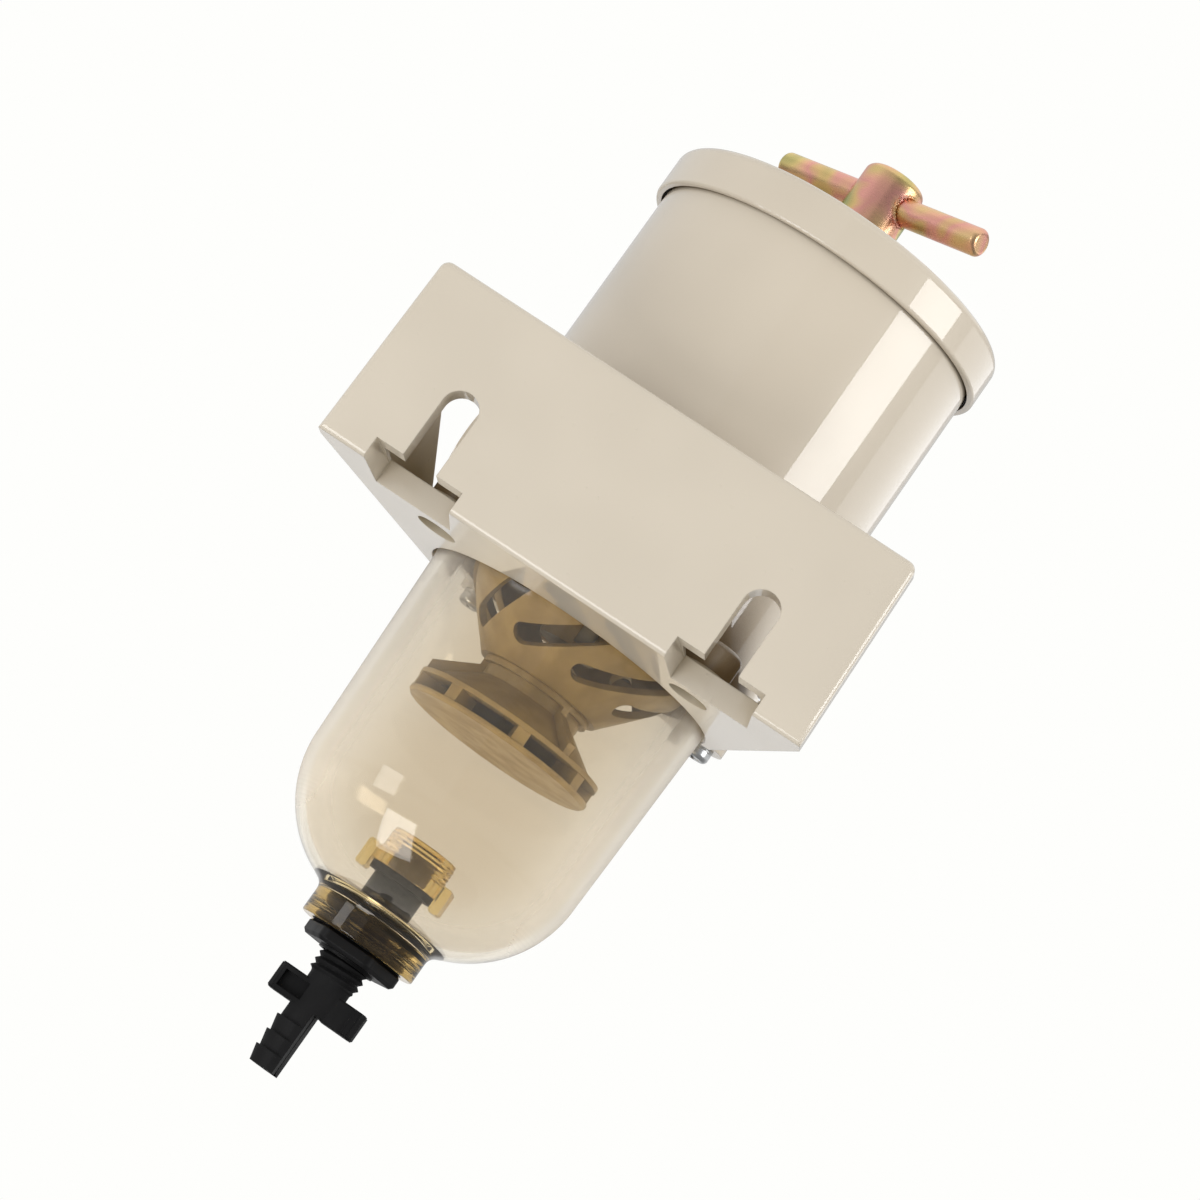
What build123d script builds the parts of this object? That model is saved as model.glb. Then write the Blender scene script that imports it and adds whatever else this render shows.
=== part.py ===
from build123d import *
import math
import os

os.makedirs("parts", exist_ok=True)

# Sizes are in millimetres. Heights are above the bracket's bottom face, radii are from the can's axis.

# Wall mounting
wall_to_axis = 71.8
stud_spacing = 92.1
stud_height = 23.4
stud_slot_width = 10.2
plate_width = 147.0
plate_top_width = 144.8
plate_height = 54.8
plate_thickness = 7.0
plate_edge_radius = 1.8
plate_corner_radius = 2.6
slab_thickness = 7.0
slab_taper = 20.0
slab_nose = 12.0
gusset_wall = 3.2
gusset_foot = 8.6
gusset_foot_radius = 4.0
recess_width = 26.6
recess_end_width = 23.4
recess_depth = 21.4
recess_height = 6.0

# Bowl clamp: four screws pull the bracket's ring, the bowl's flange and the body together
screw_spread_x = 79.0
screw_spread_y = 81.0
ear_radius = 7.0
ear_root_radius = 10.0
ring_underside = 4.5
ring_thickness = 3.5
ring_radius = 50.0
opening_radius = 44.6
counterbore_radius = 5.85
back_seat_rise = 1.5
screw_shank_radius = 2.45
screw_hole_gap = 0.3
thread_gap = 0.05
thread_room = 0.6
screw_head_radius = 4.25
screw_head_height = 3.0
screw_engagement = 5.0
lock_washer_thickness = 1.1

# Bowl
bowl_gap = 0.7
bowl_wall = 2.7
bowl_flange_thickness = 4.0
bowl_flange_radius = 49.0
bowl_low_radius = 41.6
dome_height = -56.5
dome_radius = 34.0
bowl_floor_depth = 29.2
bowl_floor_thickness = 2.8
neck_radius = 17.5
neck_bore = 14.2
neck_drop = 41.5
neck_flare = 4.5
bowl_gasket_thickness = 2.0
bowl_gasket_width = 4.6
flange_gap = 0.3

# Filter body: can, floor, hub, galleries and ports
can_radius = 49.5
can_wall = 2.6
can_height = 115.0
base_flange_radius = 51.3
ear_height = 7.8
ear_edge_radius = 2.0
floor_thickness = 4.5
floor_window_inner = 37.2
floor_window_outer = 43.6
floor_window_angle = 50.0
hub_radius = 14.0
hub_height = 31.5
gallery_bore = 5.5
gallery_wall = 3.0
inlet_gallery_rise = 8.1
outlet_gallery_drop = 9.6
rib_thickness = 4.0
rib_drop = 6.0
port_rise = 15.5
port_forward = 12.0
port_boss_radius = 14.5
port_face = 57.0
port_thread_radius = 8.75
port_bore_depth = 16.0
port_seat_radius = 10.3
port_seat_depth = 2.5

# Check ball in its cage
ball_radius = 6.5
ball_seat_radius = 4.6
ball_seat_thickness = 3.0
ball_seat_outer = 9.2
ball_chamber_depth = 5.0
cage_wall = 2.0
cage_gap = 0.4
cage_floor = 1.6
cage_window_width = 6.0

# Turbine: a slotted dome over a vaned disc
turbine_radius = 34.5
turbine_wall = 2.2
turbine_plate = 2.4
turbine_depth = 28.4
turbine_bottom_radius = 18.4
turbine_shoulder_depth = 10.1
turbine_shoulder_round = 12.0
turbine_slots = 8
turbine_slot_width = 6.1
turbine_slot_length = 24.0
turbine_slot_lean = 37.5
turbine_slot_place = (-0.6, -0.7)
turbine_slot_angle = 94.0
turbine_ear_radius = 3.4
turbine_screw_circle = 37.4
turbine_screw_radius = 1.45
turbine_screw_head_radius = 2.7
turbine_screw_head_height = 2.0
turbine_screw_bite = 3.4
disc_radius = 28.5
disc_ring_thickness = 1.4
disc_plate_thickness = 1.5
disc_ring_width = 6.5
vane_height = 4.0
vane_length = 8.0
vane_width = 4.0
vane_count = 8
vane_angle = 106.0
disc_top_ring_radius = 16.6
disc_top_ring_thickness = 1.7
disc_collar_radius = 15.0
disc_collar_height = 3.2
disc_cone_height = 8.0
disc_cone_radius = 26.5
disc_shell = 2.0
leg_count = 3
leg_angle = 13.0
leg_width = 2.4
leg_rise = 3.2
spigot_radius = 6.0
spigot_length = 2.0
spigot_gap = 0.1

# Filter element and its return tube
tube_radius = 8.0
tube_thread_length = 8.0
tube_shoulder_radius = 11.0
tube_shoulder_thickness = 2.0
tube_hole_radius = 2.4
tube_hole_rise = 10.0
element_radius = 42.0
element_length = 60.0
cap_thickness = 4.0
cap_lip = 4.0
cap_lip_wall = 1.4
media_inner = 20.5
pleat_count = 44
core_radius = 19.0
core_wall = 1.5
core_hole_radius = 2.6
core_hole_rows = 4
core_hole_columns = 6
seal_width = 3.0
slip_gap = 0.4

# Lid, held down by the T handle
lid_radius = 52.2
lid_skirt_depth = 5.6
lid_rise = 7.2
lid_gap = 0.8
lid_plate = 4.6
lid_edge_round = 2.6
lid_dish_radius = 42.0
lid_boss_radius = 14.0
lid_boss_rise = 15.0
lid_gasket_thickness = 2.6
lid_gasket_width = 4.4

# T handle
stem_radius = 6.0
stem_gap = 0.4
stem_engagement = 9.0
handle_washer_radius = 12.5
handle_washer_thickness = 1.6
handle_o_ring_thickness = 2.4
handle_o_ring_width = 2.6
hub_handle_radius = 9.2
hub_above_bar = 8.1
handle_edge_round = 2.2
bar_radius = 4.0
bar_length = 72.2
bar_rise = 11.8
bar_angle = -29.0
bar_end_round = 1.5
bar_gap = 0.03

# Drain: bush in the bowl's neck, seat nut inside the bowl, wing valve with a hose barb
bush_gap = 0.15
bush_hex_across = 25.8
bush_hex_thickness = 4.4
bush_hex_corner_round = 3.0
bush_hex_chamfer = 0.9
bush_skirt_radius = 8.4
bush_skirt_height = 0.8
bush_neck_radius = 7.6
bush_neck_rise = 9.9
bush_stem_radius = 5.9
bush_stem_rise = 19.5
bush_narrow_length = 8.0
drain_ring_height = 3.2
drain_ring_width = 2.5
seal_washer_radius = 9.7
seal_washer_thickness = 2.2
seat_nut_radius = 10.6
seat_nut_thickness = 4.4
seat_nut_collar_radius = 10.0
seat_nut_height = 10.4
seat_nut_lug_radius = 13.2
seat_nut_lug_wall = 3.0
seat_nut_lug_width = 9.0
seat_nut_lug_drop = 3.4
valve_thread_radius = 7.4
valve_thread_drop = 11.5
valve_thread_rise = 2.0
valve_thread_room = 4.0
valve_running_gap = 0.05
valve_neck_radius = 6.2
wing_drop = 13.7
wing_height = 7.8
wing_span = 26.8
wing_thickness = 8.0
wing_pocket_depth = 2.4
barb_radius = 6.0
barb_tooth = 1.0
barb_length = 18.4
barb_first_tooth = 4.4
barb_tooth_pitch = 4.7
barb_tooth_count = 2
barb_taper = 4.6
barb_flat = 2.6
valve_stem_radius = 4.1
valve_stem_setback = 1.6
valve_bore_radius = 2.6
valve_cross_hole_depth = 17.4
valve_chamber_radius = 5.1
valve_seal_height = 1.6
valve_seal_width = 1.2

axis_y = -wall_to_axis
base_z = -stud_height
can_axis = Axis((0, axis_y, base_z), (0, 0, 1))
section = Plane(origin=(0, axis_y, base_z), x_dir=(1, 0, 0), z_dir=(0, -1, 0))
clear = 1.0


def level(height):
    """A horizontal plane at a height above the bracket's bottom face, centred on the can's axis."""
    return Plane(origin=(0, axis_y, base_z + height), x_dir=(1, 0, 0), z_dir=(0, 0, 1))


def radial(angle, radius, height, tilt=0.0):
    """A plane facing out from the can's axis at an angle, tilted down by some degrees, with x to its left."""
    turn, lean = math.radians(angle), math.radians(tilt)
    out = Vector(math.cos(turn), math.sin(turn), 0)
    origin = Vector(0, axis_y, base_z + height) + out * radius
    normal = out * math.cos(lean) - Vector(0, 0, 1) * math.sin(lean)
    return Plane(origin=origin, x_dir=(-math.sin(turn), math.cos(turn), 0), z_dir=normal)


def turned(outline):
    """A solid of revolution about the can's axis from corners given as radius and height."""
    with BuildPart() as piece:
        with BuildSketch(section):
            with BuildLine():
                Polyline(*outline, close=True)
            make_face()
        revolve(axis=can_axis)
    return piece


def ring(inner, outer, low, high):
    """A plain ring about the can's axis."""
    return turned([(inner, low), (outer, low), (outer, high), (inner, high)])


screw_places = [(sx * screw_spread_x / 2, sy * screw_spread_y / 2) for sx in (1, -1) for sy in (1, -1)]
back_screw_places = [(x, y) for x, y in screw_places if y > 0]
screw_seats = [(x, y, ring_underside + (back_seat_rise if y > 0 else 0)) for x, y in screw_places]


def ears(low, high, edge_radius=0.0):
    """Four rounded ears around the clamp screws, blended towards the axis, between two heights."""
    with BuildPart() as group:
        for x, y in screw_places:
            with BuildSketch(level(low)):
                with Locations((x, y)):
                    Circle(ear_radius)
                with Locations((x * 0.76, y * 0.76)):
                    Circle(ear_root_radius)
                make_hull()
            extrude(amount=high - low)
        if edge_radius:
            fillet(group.faces().group_by(Axis.Z)[-1].edges(), edge_radius)
    return group.part


# Mounting bracket


def bracket_outline(half_width, inset=0.0, reach=slab_nose):
    """Corners of the bracket seen from above: wall plate, then sides that taper towards the front."""
    side = half_width - inset
    run = wall_to_axis - plate_thickness + reach
    nose = side - run * math.tan(math.radians(slab_taper))
    back = wall_to_axis + clear if inset == 0 else wall_to_axis - plate_thickness
    corners = [(side, back), (side, wall_to_axis - plate_thickness), (nose, -reach)]
    mirrored = [(-x, y) for x, y in reversed(corners)]
    outline = corners + mirrored
    return outline if inset == 0 else [corner for n, corner in enumerate(outline) if n not in (0, 5)]


ring_top = ring_underside + ring_thickness
ring_ears = ears(ring_underside, ring_top)
with BuildPart() as mounting_bracket:
    with BuildSketch(level(0)):
        with BuildLine():
            Polyline(*bracket_outline(plate_width / 2), close=True)
        make_face()
    with BuildSketch(level(plate_height)):
        with BuildLine():
            Polyline(*bracket_outline(plate_top_width / 2), close=True)
        make_face()
    loft(ruled=True)
    # Flat face against the wall
    with BuildSketch(Plane(origin=(0, 0, base_z), x_dir=(1, 0, 0), z_dir=(0, 1, 0))):
        Rectangle(2 * plate_width, 4 * plate_height)
    extrude(amount=2 * clear, mode=Mode.SUBTRACT)
    # Room between the wall plate and the two side gussets
    with BuildSketch(level(slab_thickness)):
        with BuildLine():
            Polyline(*bracket_outline(plate_width / 2, gusset_wall, slab_nose + clear), close=True)
        make_face()
    with BuildSketch(level(plate_height + clear)):
        with BuildLine():
            Polyline(*bracket_outline(plate_top_width / 2, gusset_wall, slab_nose + clear), close=True)
        make_face()
    loft(ruled=True, mode=Mode.SUBTRACT)
    # Sloping top edge of the gussets, with a rounded foot
    with BuildSketch(Plane(origin=(0, axis_y, base_z), x_dir=(0, 1, 0), z_dir=(1, 0, 0))):
        with BuildLine():
            Polyline(
                (wall_to_axis - plate_thickness, plate_height),
                (gusset_foot, slab_thickness),
                (-slab_nose - clear, slab_thickness),
                (-slab_nose - clear, plate_height + clear),
                (wall_to_axis - plate_thickness, plate_height + clear),
                close=True,
            )
        make_face()
        fillet(vertices().sort_by_distance((gusset_foot, slab_thickness))[0], gusset_foot_radius)
    extrude(amount=plate_width, both=True, mode=Mode.SUBTRACT)
    corner_edges = mounting_bracket.edges().filter_by(Axis.Y).group_by(Axis.Z)[-1]
    fillet(corner_edges, plate_corner_radius)
    fillet(mounting_bracket.faces().sort_by(Axis.Y)[-1].edges(), plate_edge_radius)
    # Clamp ring with its ears
    with BuildSketch(level(ring_underside)):
        Circle(ring_radius)
    extrude(amount=ring_top - ring_underside)
    add(ring_ears)
    with BuildSketch(level(-clear)):
        Circle(opening_radius)
    extrude(amount=ring_top + 2 * clear, mode=Mode.SUBTRACT)
    with BuildSketch(level(-clear)):
        with Locations(*screw_places):
            Circle(screw_shank_radius + screw_hole_gap)
    extrude(amount=ring_top + 2 * clear, mode=Mode.SUBTRACT)
    with BuildSketch(level(-clear)):
        with Locations(*back_screw_places):
            Circle(counterbore_radius)
    extrude(amount=ring_underside + back_seat_rise + clear, mode=Mode.SUBTRACT)
    # Stud slots, open at the bottom into recesses that run under the plate
    with BuildSketch(Plane(origin=(0, clear, base_z), x_dir=(1, 0, 0), z_dir=(0, -1, 0))):
        for side in (1, -1):
            with Locations((side * stud_spacing / 2, stud_height)):
                Circle(stud_slot_width / 2)
            with Locations((side * stud_spacing / 2, stud_height / 2)):
                Rectangle(stud_slot_width, stud_height)
    extrude(amount=plate_thickness + 2 * clear, mode=Mode.SUBTRACT)
    for side in (1, -1):
        centre = side * stud_spacing / 2
        with BuildSketch(level(-clear)):
            with BuildLine():
                Polyline(
                    (centre - recess_width / 2, wall_to_axis + clear),
                    (centre + recess_width / 2, wall_to_axis + clear),
                    (centre + recess_end_width / 2, wall_to_axis - recess_depth),
                    (centre - recess_end_width / 2, wall_to_axis - recess_depth),
                    close=True,
                )
            make_face()
        extrude(amount=recess_height + clear, mode=Mode.SUBTRACT)
        with BuildSketch(level(-clear)):
            with Locations((centre, wall_to_axis - (plate_thickness + recess_depth) / 2)):
                Rectangle(recess_end_width, recess_depth - plate_thickness)
        extrude(amount=slab_thickness + 2 * clear, mode=Mode.SUBTRACT)
mounting_bracket.part.label = "mounting_bracket"

# Filter body
can_rim = ring_top + can_height
ear_top = ring_top + ear_height
flange_top = ring_top + bowl_flange_thickness
pocket_top = flange_top + bowl_gasket_thickness
pocket_radius = bowl_flange_radius + flange_gap
can_inner = can_radius - can_wall
floor_top = pocket_top + floor_thickness
hub_top = floor_top + hub_height
rib_top = hub_top - rib_drop
inlet_gallery_height = floor_top + inlet_gallery_rise
outlet_gallery_height = hub_top - outlet_gallery_drop
port_height = floor_top + port_rise
gallery_radius = gallery_bore + gallery_wall
port_inner_end = port_face - port_bore_depth
gallery_reach = math.hypot(port_inner_end, port_forward)
seat_top = pocket_top + ball_chamber_depth


def gallery_plane(side, height):
    """A vertical plane on the can's axis, facing along the gallery that runs to one port."""
    return Plane(
        origin=(0, axis_y, base_z + height), x_dir=(0, 0, 1), z_dir=(side * port_inner_end, -port_forward, 0)
    )


def port_plane(side, reach):
    """A plane across one port's axis, facing outwards, at a distance from the middle."""
    middle = (side * reach, axis_y - port_forward, base_z + port_height)
    return Plane(origin=middle, x_dir=(0, 1, 0), z_dir=(side, 0, 0))


galleries = ((1, inlet_gallery_height), (-1, outlet_gallery_height))
body_ears = ears(ring_top, ear_top, ear_edge_radius)
with BuildPart() as filter_body:
    with BuildSketch(section):
        with BuildLine():
            Polyline(
                (0, pocket_top),
                (pocket_radius, pocket_top),
                (pocket_radius, ring_top),
                (base_flange_radius, ring_top),
                (base_flange_radius, ear_top),
                (can_radius, ear_top),
                (can_radius, can_rim),
                (can_inner, can_rim),
                (can_inner, floor_top),
                (hub_radius, floor_top),
                (hub_radius, hub_top),
                (0, hub_top),
                close=True,
            )
        make_face()
    revolve(axis=can_axis)
    # Ears around the clamp screws, kept outside the bowl's pocket
    add(body_ears)
    with BuildSketch(level(ring_top)):
        Circle(pocket_radius)
    extrude(amount=pocket_top - ring_top, mode=Mode.SUBTRACT)
    # Galleries from the ports to the hub, and two ribs across them
    for side, height in galleries:
        with BuildSketch(gallery_plane(side, height)):
            Circle(gallery_radius)
        extrude(amount=gallery_reach)
        with BuildSketch(port_plane(side, port_inner_end - gallery_wall)):
            Circle(port_boss_radius)
        extrude(amount=port_bore_depth + gallery_wall)
    with BuildSketch(level(floor_top)):
        Rectangle(rib_thickness, 2 * can_inner + can_wall)
    extrude(amount=rib_top - floor_top)
    # Bores: galleries, ports with their sealing cones, return tube seat and ball chamber
    for side, height in galleries:
        with BuildSketch(gallery_plane(side, height)):
            Circle(gallery_bore)
        extrude(amount=gallery_reach + clear, mode=Mode.SUBTRACT)
        with BuildSketch(port_plane(side, port_inner_end)):
            Circle(port_thread_radius)
        extrude(amount=port_bore_depth + clear, mode=Mode.SUBTRACT)
        with BuildSketch(port_plane(side, port_face)):
            Circle(port_seat_radius)
        with BuildSketch(port_plane(side, port_face - port_seat_depth)):
            Circle(port_thread_radius)
        loft(mode=Mode.SUBTRACT)
    with BuildSketch(level(outlet_gallery_height)):
        Circle(gallery_bore)
    extrude(amount=hub_top - outlet_gallery_height, mode=Mode.SUBTRACT)
    with BuildSketch(level(hub_top - tube_thread_length)):
        Circle(tube_radius)
    extrude(amount=tube_thread_length, mode=Mode.SUBTRACT)
    with BuildSketch(level(seat_top)):
        Circle(ball_seat_radius)
    extrude(amount=inlet_gallery_height - seat_top, mode=Mode.SUBTRACT)
    with BuildSketch(level(pocket_top)):
        Circle(ball_seat_outer)
    extrude(amount=ball_chamber_depth, mode=Mode.SUBTRACT)
    # Windows in the floor, through which the fuel rises from the bowl around the turbine
    window_middle = (floor_window_inner + floor_window_outer) / 2
    with BuildSketch(level(pocket_top)):
        with PolarLocations(0, 4):
            SlotArc(
                CenterArc((0, 0), window_middle, -floor_window_angle / 2, floor_window_angle),
                floor_window_outer - floor_window_inner,
            )
    extrude(amount=floor_thickness, mode=Mode.SUBTRACT)
    # Blind threads for the clamp screws and for the turbine's screws
    for x, y, seat in screw_seats:
        with BuildSketch(level(ring_top)):
            with Locations((x, y)):
                Circle(screw_shank_radius + thread_gap)
        extrude(amount=seat - ring_underside + screw_engagement + thread_room, mode=Mode.SUBTRACT)
    with BuildSketch(level(pocket_top)):
        with PolarLocations(turbine_screw_circle, 4, start_angle=45):
            Circle(turbine_screw_radius + thread_gap)
    extrude(amount=turbine_screw_bite + thread_gap, mode=Mode.SUBTRACT)
filter_body.part.label = "filter_body"

# Clamp screws and lock washers
screw_length = lock_washer_thickness + ring_thickness + screw_engagement
cross_length = screw_head_radius * 1.1
cross_width = screw_head_radius * 0.22
head_drop = lock_washer_thickness + screw_head_height
with BuildPart() as clamp_screws:
    for x, y, seat in screw_seats:
        with BuildSketch(level(seat - lock_washer_thickness)):
            with Locations((x, y)):
                Circle(screw_shank_radius)
        extrude(amount=screw_length)
        with BuildSketch(level(seat - head_drop)):
            with Locations((x, y)):
                Circle(screw_head_radius)
        extrude(amount=screw_head_height)
    head_faces = [screw.faces().sort_by(Axis.Z)[0] for screw in clamp_screws.solids()]
    fillet([face.edge() for face in head_faces], screw_head_height * 0.4)
    for x, y, seat in screw_seats:
        with BuildSketch(level(seat - head_drop)):
            with Locations((x, y)):
                Rectangle(cross_length, cross_width)
                Rectangle(cross_width, cross_length)
        extrude(amount=screw_head_height * 0.5, mode=Mode.SUBTRACT)
clamp_screws.part.label = "clamp_screws"

with BuildPart() as lock_washers:
    for x, y, seat in screw_seats:
        with BuildSketch(level(seat - lock_washer_thickness)):
            with Locations((x, y)):
                Circle(screw_head_radius)
                Circle(screw_shank_radius + screw_hole_gap, mode=Mode.SUBTRACT)
        extrude(amount=lock_washer_thickness)
lock_washers.part.label = "lock_washers"

# Clear bowl with its flange, dome and threaded neck
bowl_floor_top = dome_height - bowl_floor_depth
neck_bottom = dome_height - neck_drop
bowl_top_radius = opening_radius - bowl_gap
dome_centre = bowl_low_radius - dome_radius
dome_inner = dome_radius - bowl_wall
neck_corner_angle = math.acos((neck_radius - dome_centre) / dome_radius)
neck_corner = (neck_radius, dome_height - dome_radius * math.sin(neck_corner_angle))
floor_edge_angle = math.asin((dome_height - bowl_floor_top) / dome_inner)
floor_edge = (dome_centre + dome_inner * math.cos(floor_edge_angle), bowl_floor_top)
neck_ceiling = bowl_floor_top - bowl_floor_thickness


def dome_point(radius, angle):
    """A point on the bowl's dome profile, at an angle below the horizontal."""
    return (dome_centre + radius * math.cos(angle), dome_height - radius * math.sin(angle))


with BuildPart() as clear_bowl:
    with BuildSketch(section):
        with BuildLine():
            Polyline(
                (bowl_low_radius - bowl_wall, dome_height),
                (bowl_top_radius - bowl_wall, flange_top),
                (bowl_flange_radius, flange_top),
                (bowl_flange_radius, ring_top),
                (bowl_top_radius, ring_top),
                (bowl_low_radius, dome_height),
            )
            ThreePointArc(
                (bowl_low_radius, dome_height), dome_point(dome_radius, neck_corner_angle / 2), neck_corner
            )
            Polyline(
                neck_corner,
                (neck_radius, neck_bottom),
                (neck_bore, neck_bottom),
                (neck_bore, neck_ceiling),
                (bush_neck_radius + bush_gap, neck_ceiling),
                (bush_neck_radius + bush_gap, bowl_floor_top),
                floor_edge,
            )
            ThreePointArc(
                floor_edge,
                dome_point(dome_inner, floor_edge_angle / 2),
                (bowl_low_radius - bowl_wall, dome_height),
            )
        make_face()
        fillet(vertices().sort_by_distance(neck_corner)[0], neck_flare)
    revolve(axis=can_axis)
clear_bowl.part.label = "clear_bowl"

bowl_gasket = ring(bowl_flange_radius - bowl_gasket_width, bowl_flange_radius, flange_top, pocket_top)
bowl_gasket.part.label = "bowl_gasket"

# Turbine dome
turbine_top = pocket_top
turbine_bottom = turbine_top - turbine_depth
turbine_shoulder = turbine_top - turbine_shoulder_depth
cone_lean = math.atan2(turbine_shoulder - turbine_bottom, turbine_radius - turbine_bottom_radius)
shell_rise = turbine_wall / math.cos(cone_lean)


def cone_height(radius):
    """Height of the dome's outer cone at a radius."""
    return turbine_bottom + (radius - turbine_bottom_radius) * math.tan(cone_lean)


turbine_inner = turbine_radius - turbine_wall
inner_floor = turbine_bottom + turbine_wall
inner_floor_radius = turbine_bottom_radius + (turbine_wall - shell_rise) / math.tan(cone_lean)
cage_radius = ball_radius + cage_gap
cage_floor_top = pocket_top - 2 * ball_radius
slot_middle_radius = (turbine_bottom_radius + 2 * turbine_radius) / 3
slot_middle_height = cone_height(slot_middle_radius)
slot_slant = math.radians(turbine_slot_lean)
turbine_flange_radius = turbine_radius + turbine_plate / 2
with BuildPart() as turbine:
    with BuildSketch(section):
        with BuildLine():
            Polyline(
                (0, turbine_bottom),
                (turbine_bottom_radius, turbine_bottom),
                (turbine_radius, turbine_shoulder),
                (turbine_radius, turbine_top),
                (0, turbine_top),
                close=True,
            )
        make_face()
        fillet(vertices().sort_by_distance((turbine_radius, turbine_shoulder))[0], turbine_shoulder_round)
    revolve(axis=can_axis)
    with BuildSketch(section):
        with BuildLine():
            Polyline(
                (0, inner_floor),
                (inner_floor_radius, inner_floor),
                (turbine_inner, cone_height(turbine_inner) + shell_rise),
                (turbine_inner, turbine_top),
                (0, turbine_top),
                close=True,
            )
        make_face()
        fillet(
            vertices().sort_by_distance((turbine_inner, cone_height(turbine_inner) + shell_rise))[0],
            turbine_shoulder_round - turbine_wall,
        )
    revolve(axis=can_axis, mode=Mode.SUBTRACT)
    # Slanting slots around the dome
    for number in range(turbine_slots):
        angle = turbine_slot_angle + number * 360 / turbine_slots
        face = radial(angle, slot_middle_radius, slot_middle_height, 90 - math.degrees(cone_lean))
        along = face.x_dir * math.cos(slot_slant) + face.y_dir * math.sin(slot_slant)
        with BuildSketch(Plane(origin=face.origin, x_dir=along, z_dir=face.z_dir)):
            with Locations(turbine_slot_place):
                SlotCenterToCenter(turbine_slot_length, turbine_slot_width)
        extrude(amount=turbine_slot_length / 2, both=True, mode=Mode.SUBTRACT)
    # Top plate with four screw ears
    with BuildSketch(level(turbine_top - turbine_plate)):
        Circle(turbine_flange_radius)
        with PolarLocations(turbine_screw_circle, 4, start_angle=45):
            Circle(turbine_ear_radius)
    extrude(amount=turbine_plate)
    with BuildSketch(level(turbine_top - turbine_plate)):
        with PolarLocations(turbine_screw_circle, 4, start_angle=45):
            Circle(turbine_screw_radius + 2 * thread_gap)
    extrude(amount=turbine_plate, mode=Mode.SUBTRACT)
    # Ball cage hanging from the top plate, with windows around it
    with BuildSketch(level(cage_floor_top - cage_floor)):
        Circle(cage_radius + cage_wall)
    extrude(amount=turbine_top - cage_floor_top + cage_floor)
    with BuildSketch(level(cage_floor_top)):
        Circle(cage_radius)
    extrude(amount=turbine_top - cage_floor_top, mode=Mode.SUBTRACT)
    with BuildSketch(level(cage_floor_top)):
        with PolarLocations(cage_radius + cage_wall / 2, 3):
            Rectangle(2 * cage_wall, cage_window_width)
    extrude(amount=ball_radius, mode=Mode.SUBTRACT)
    # Hole for the vaned disc's spigot
    with BuildSketch(level(turbine_bottom)):
        Circle(spigot_radius + spigot_gap)
    extrude(amount=turbine_wall, mode=Mode.SUBTRACT)
turbine.part.label = "turbine"

with BuildPart() as turbine_screws:
    with BuildSketch(level(turbine_top - turbine_plate)):
        with PolarLocations(turbine_screw_circle, 4, start_angle=45):
            Circle(turbine_screw_radius)
    extrude(amount=turbine_plate + turbine_screw_bite)
    with BuildSketch(level(turbine_top - turbine_plate - turbine_screw_head_height)):
        with PolarLocations(turbine_screw_circle, 4, start_angle=45):
            Circle(turbine_screw_head_radius)
    extrude(amount=turbine_screw_head_height)
turbine_screws.part.label = "turbine_screws"

# Vaned disc under the dome
disc_top = turbine_bottom
collar_top = disc_top - disc_top_ring_thickness
cone_top = collar_top - disc_collar_height
ring_level = cone_top - disc_cone_height
vane_top = ring_level - disc_ring_thickness
vane_bottom = vane_top - vane_height
disc_bottom = vane_bottom - disc_plate_thickness
leg_foot_radius = disc_radius - disc_ring_thickness / 2
vane_middle = disc_radius - vane_length / 2 - disc_ring_thickness / 4
with BuildPart() as vane_disc:
    with BuildSketch(section):
        with BuildLine():
            Polyline(
                (0, disc_top),
                (disc_top_ring_radius, disc_top),
                (disc_top_ring_radius, collar_top),
                (disc_collar_radius, collar_top),
                (disc_collar_radius, cone_top),
                (disc_cone_radius, ring_level),
                (disc_radius, ring_level),
                (disc_radius, vane_top),
                (disc_radius - disc_ring_width, vane_top),
                (disc_collar_radius - disc_shell, cone_top - disc_shell),
                (0, cone_top - disc_shell),
                close=True,
            )
        make_face()
    revolve(axis=can_axis)
    with BuildSketch(level(disc_bottom)):
        Circle(disc_radius)
    extrude(amount=disc_plate_thickness)
    chamfer(vane_disc.faces().sort_by(Axis.Z)[0].edges(), disc_plate_thickness / 2)
    with BuildSketch(level(vane_bottom)):
        with PolarLocations(vane_middle, vane_count, start_angle=vane_angle):
            Rectangle(vane_length, vane_width)
    extrude(amount=vane_height)
    for number in range(leg_count):
        angle = leg_angle + number * 360 / leg_count
        turn = math.radians(angle)
        across = Plane(
            origin=(0, axis_y, base_z),
            x_dir=(math.cos(turn), math.sin(turn), 0),
            z_dir=(math.sin(turn), -math.cos(turn), 0),
        )
        with BuildSketch(across):
            with BuildLine():
                Polyline(
                    (disc_collar_radius - disc_shell, disc_top),
                    (disc_top_ring_radius, disc_top),
                    (disc_top_ring_radius, collar_top - leg_rise / 2),
                    (leg_foot_radius, ring_level + leg_rise),
                    (leg_foot_radius, ring_level),
                    (disc_cone_radius - disc_shell, ring_level),
                    (disc_collar_radius - disc_shell, cone_top),
                    close=True,
                )
            make_face()
        extrude(amount=leg_width / 2, both=True)
    with BuildSketch(level(disc_top)):
        Circle(spigot_radius)
    extrude(amount=spigot_length)
vane_disc.part.label = "vane_disc"

# Check ball and its seat
seat_bottom = seat_top - ball_seat_thickness
seat_lead = seat_bottom + ball_seat_thickness / 2
check_ball_seat = turned(
    [
        (ball_seat_radius, seat_top),
        (ball_seat_radius, seat_lead),
        (ball_radius * 0.8, seat_bottom),
        (ball_seat_outer, seat_bottom),
        (ball_seat_outer, seat_top),
    ]
)
check_ball_seat.part.label = "check_ball_seat"

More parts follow.
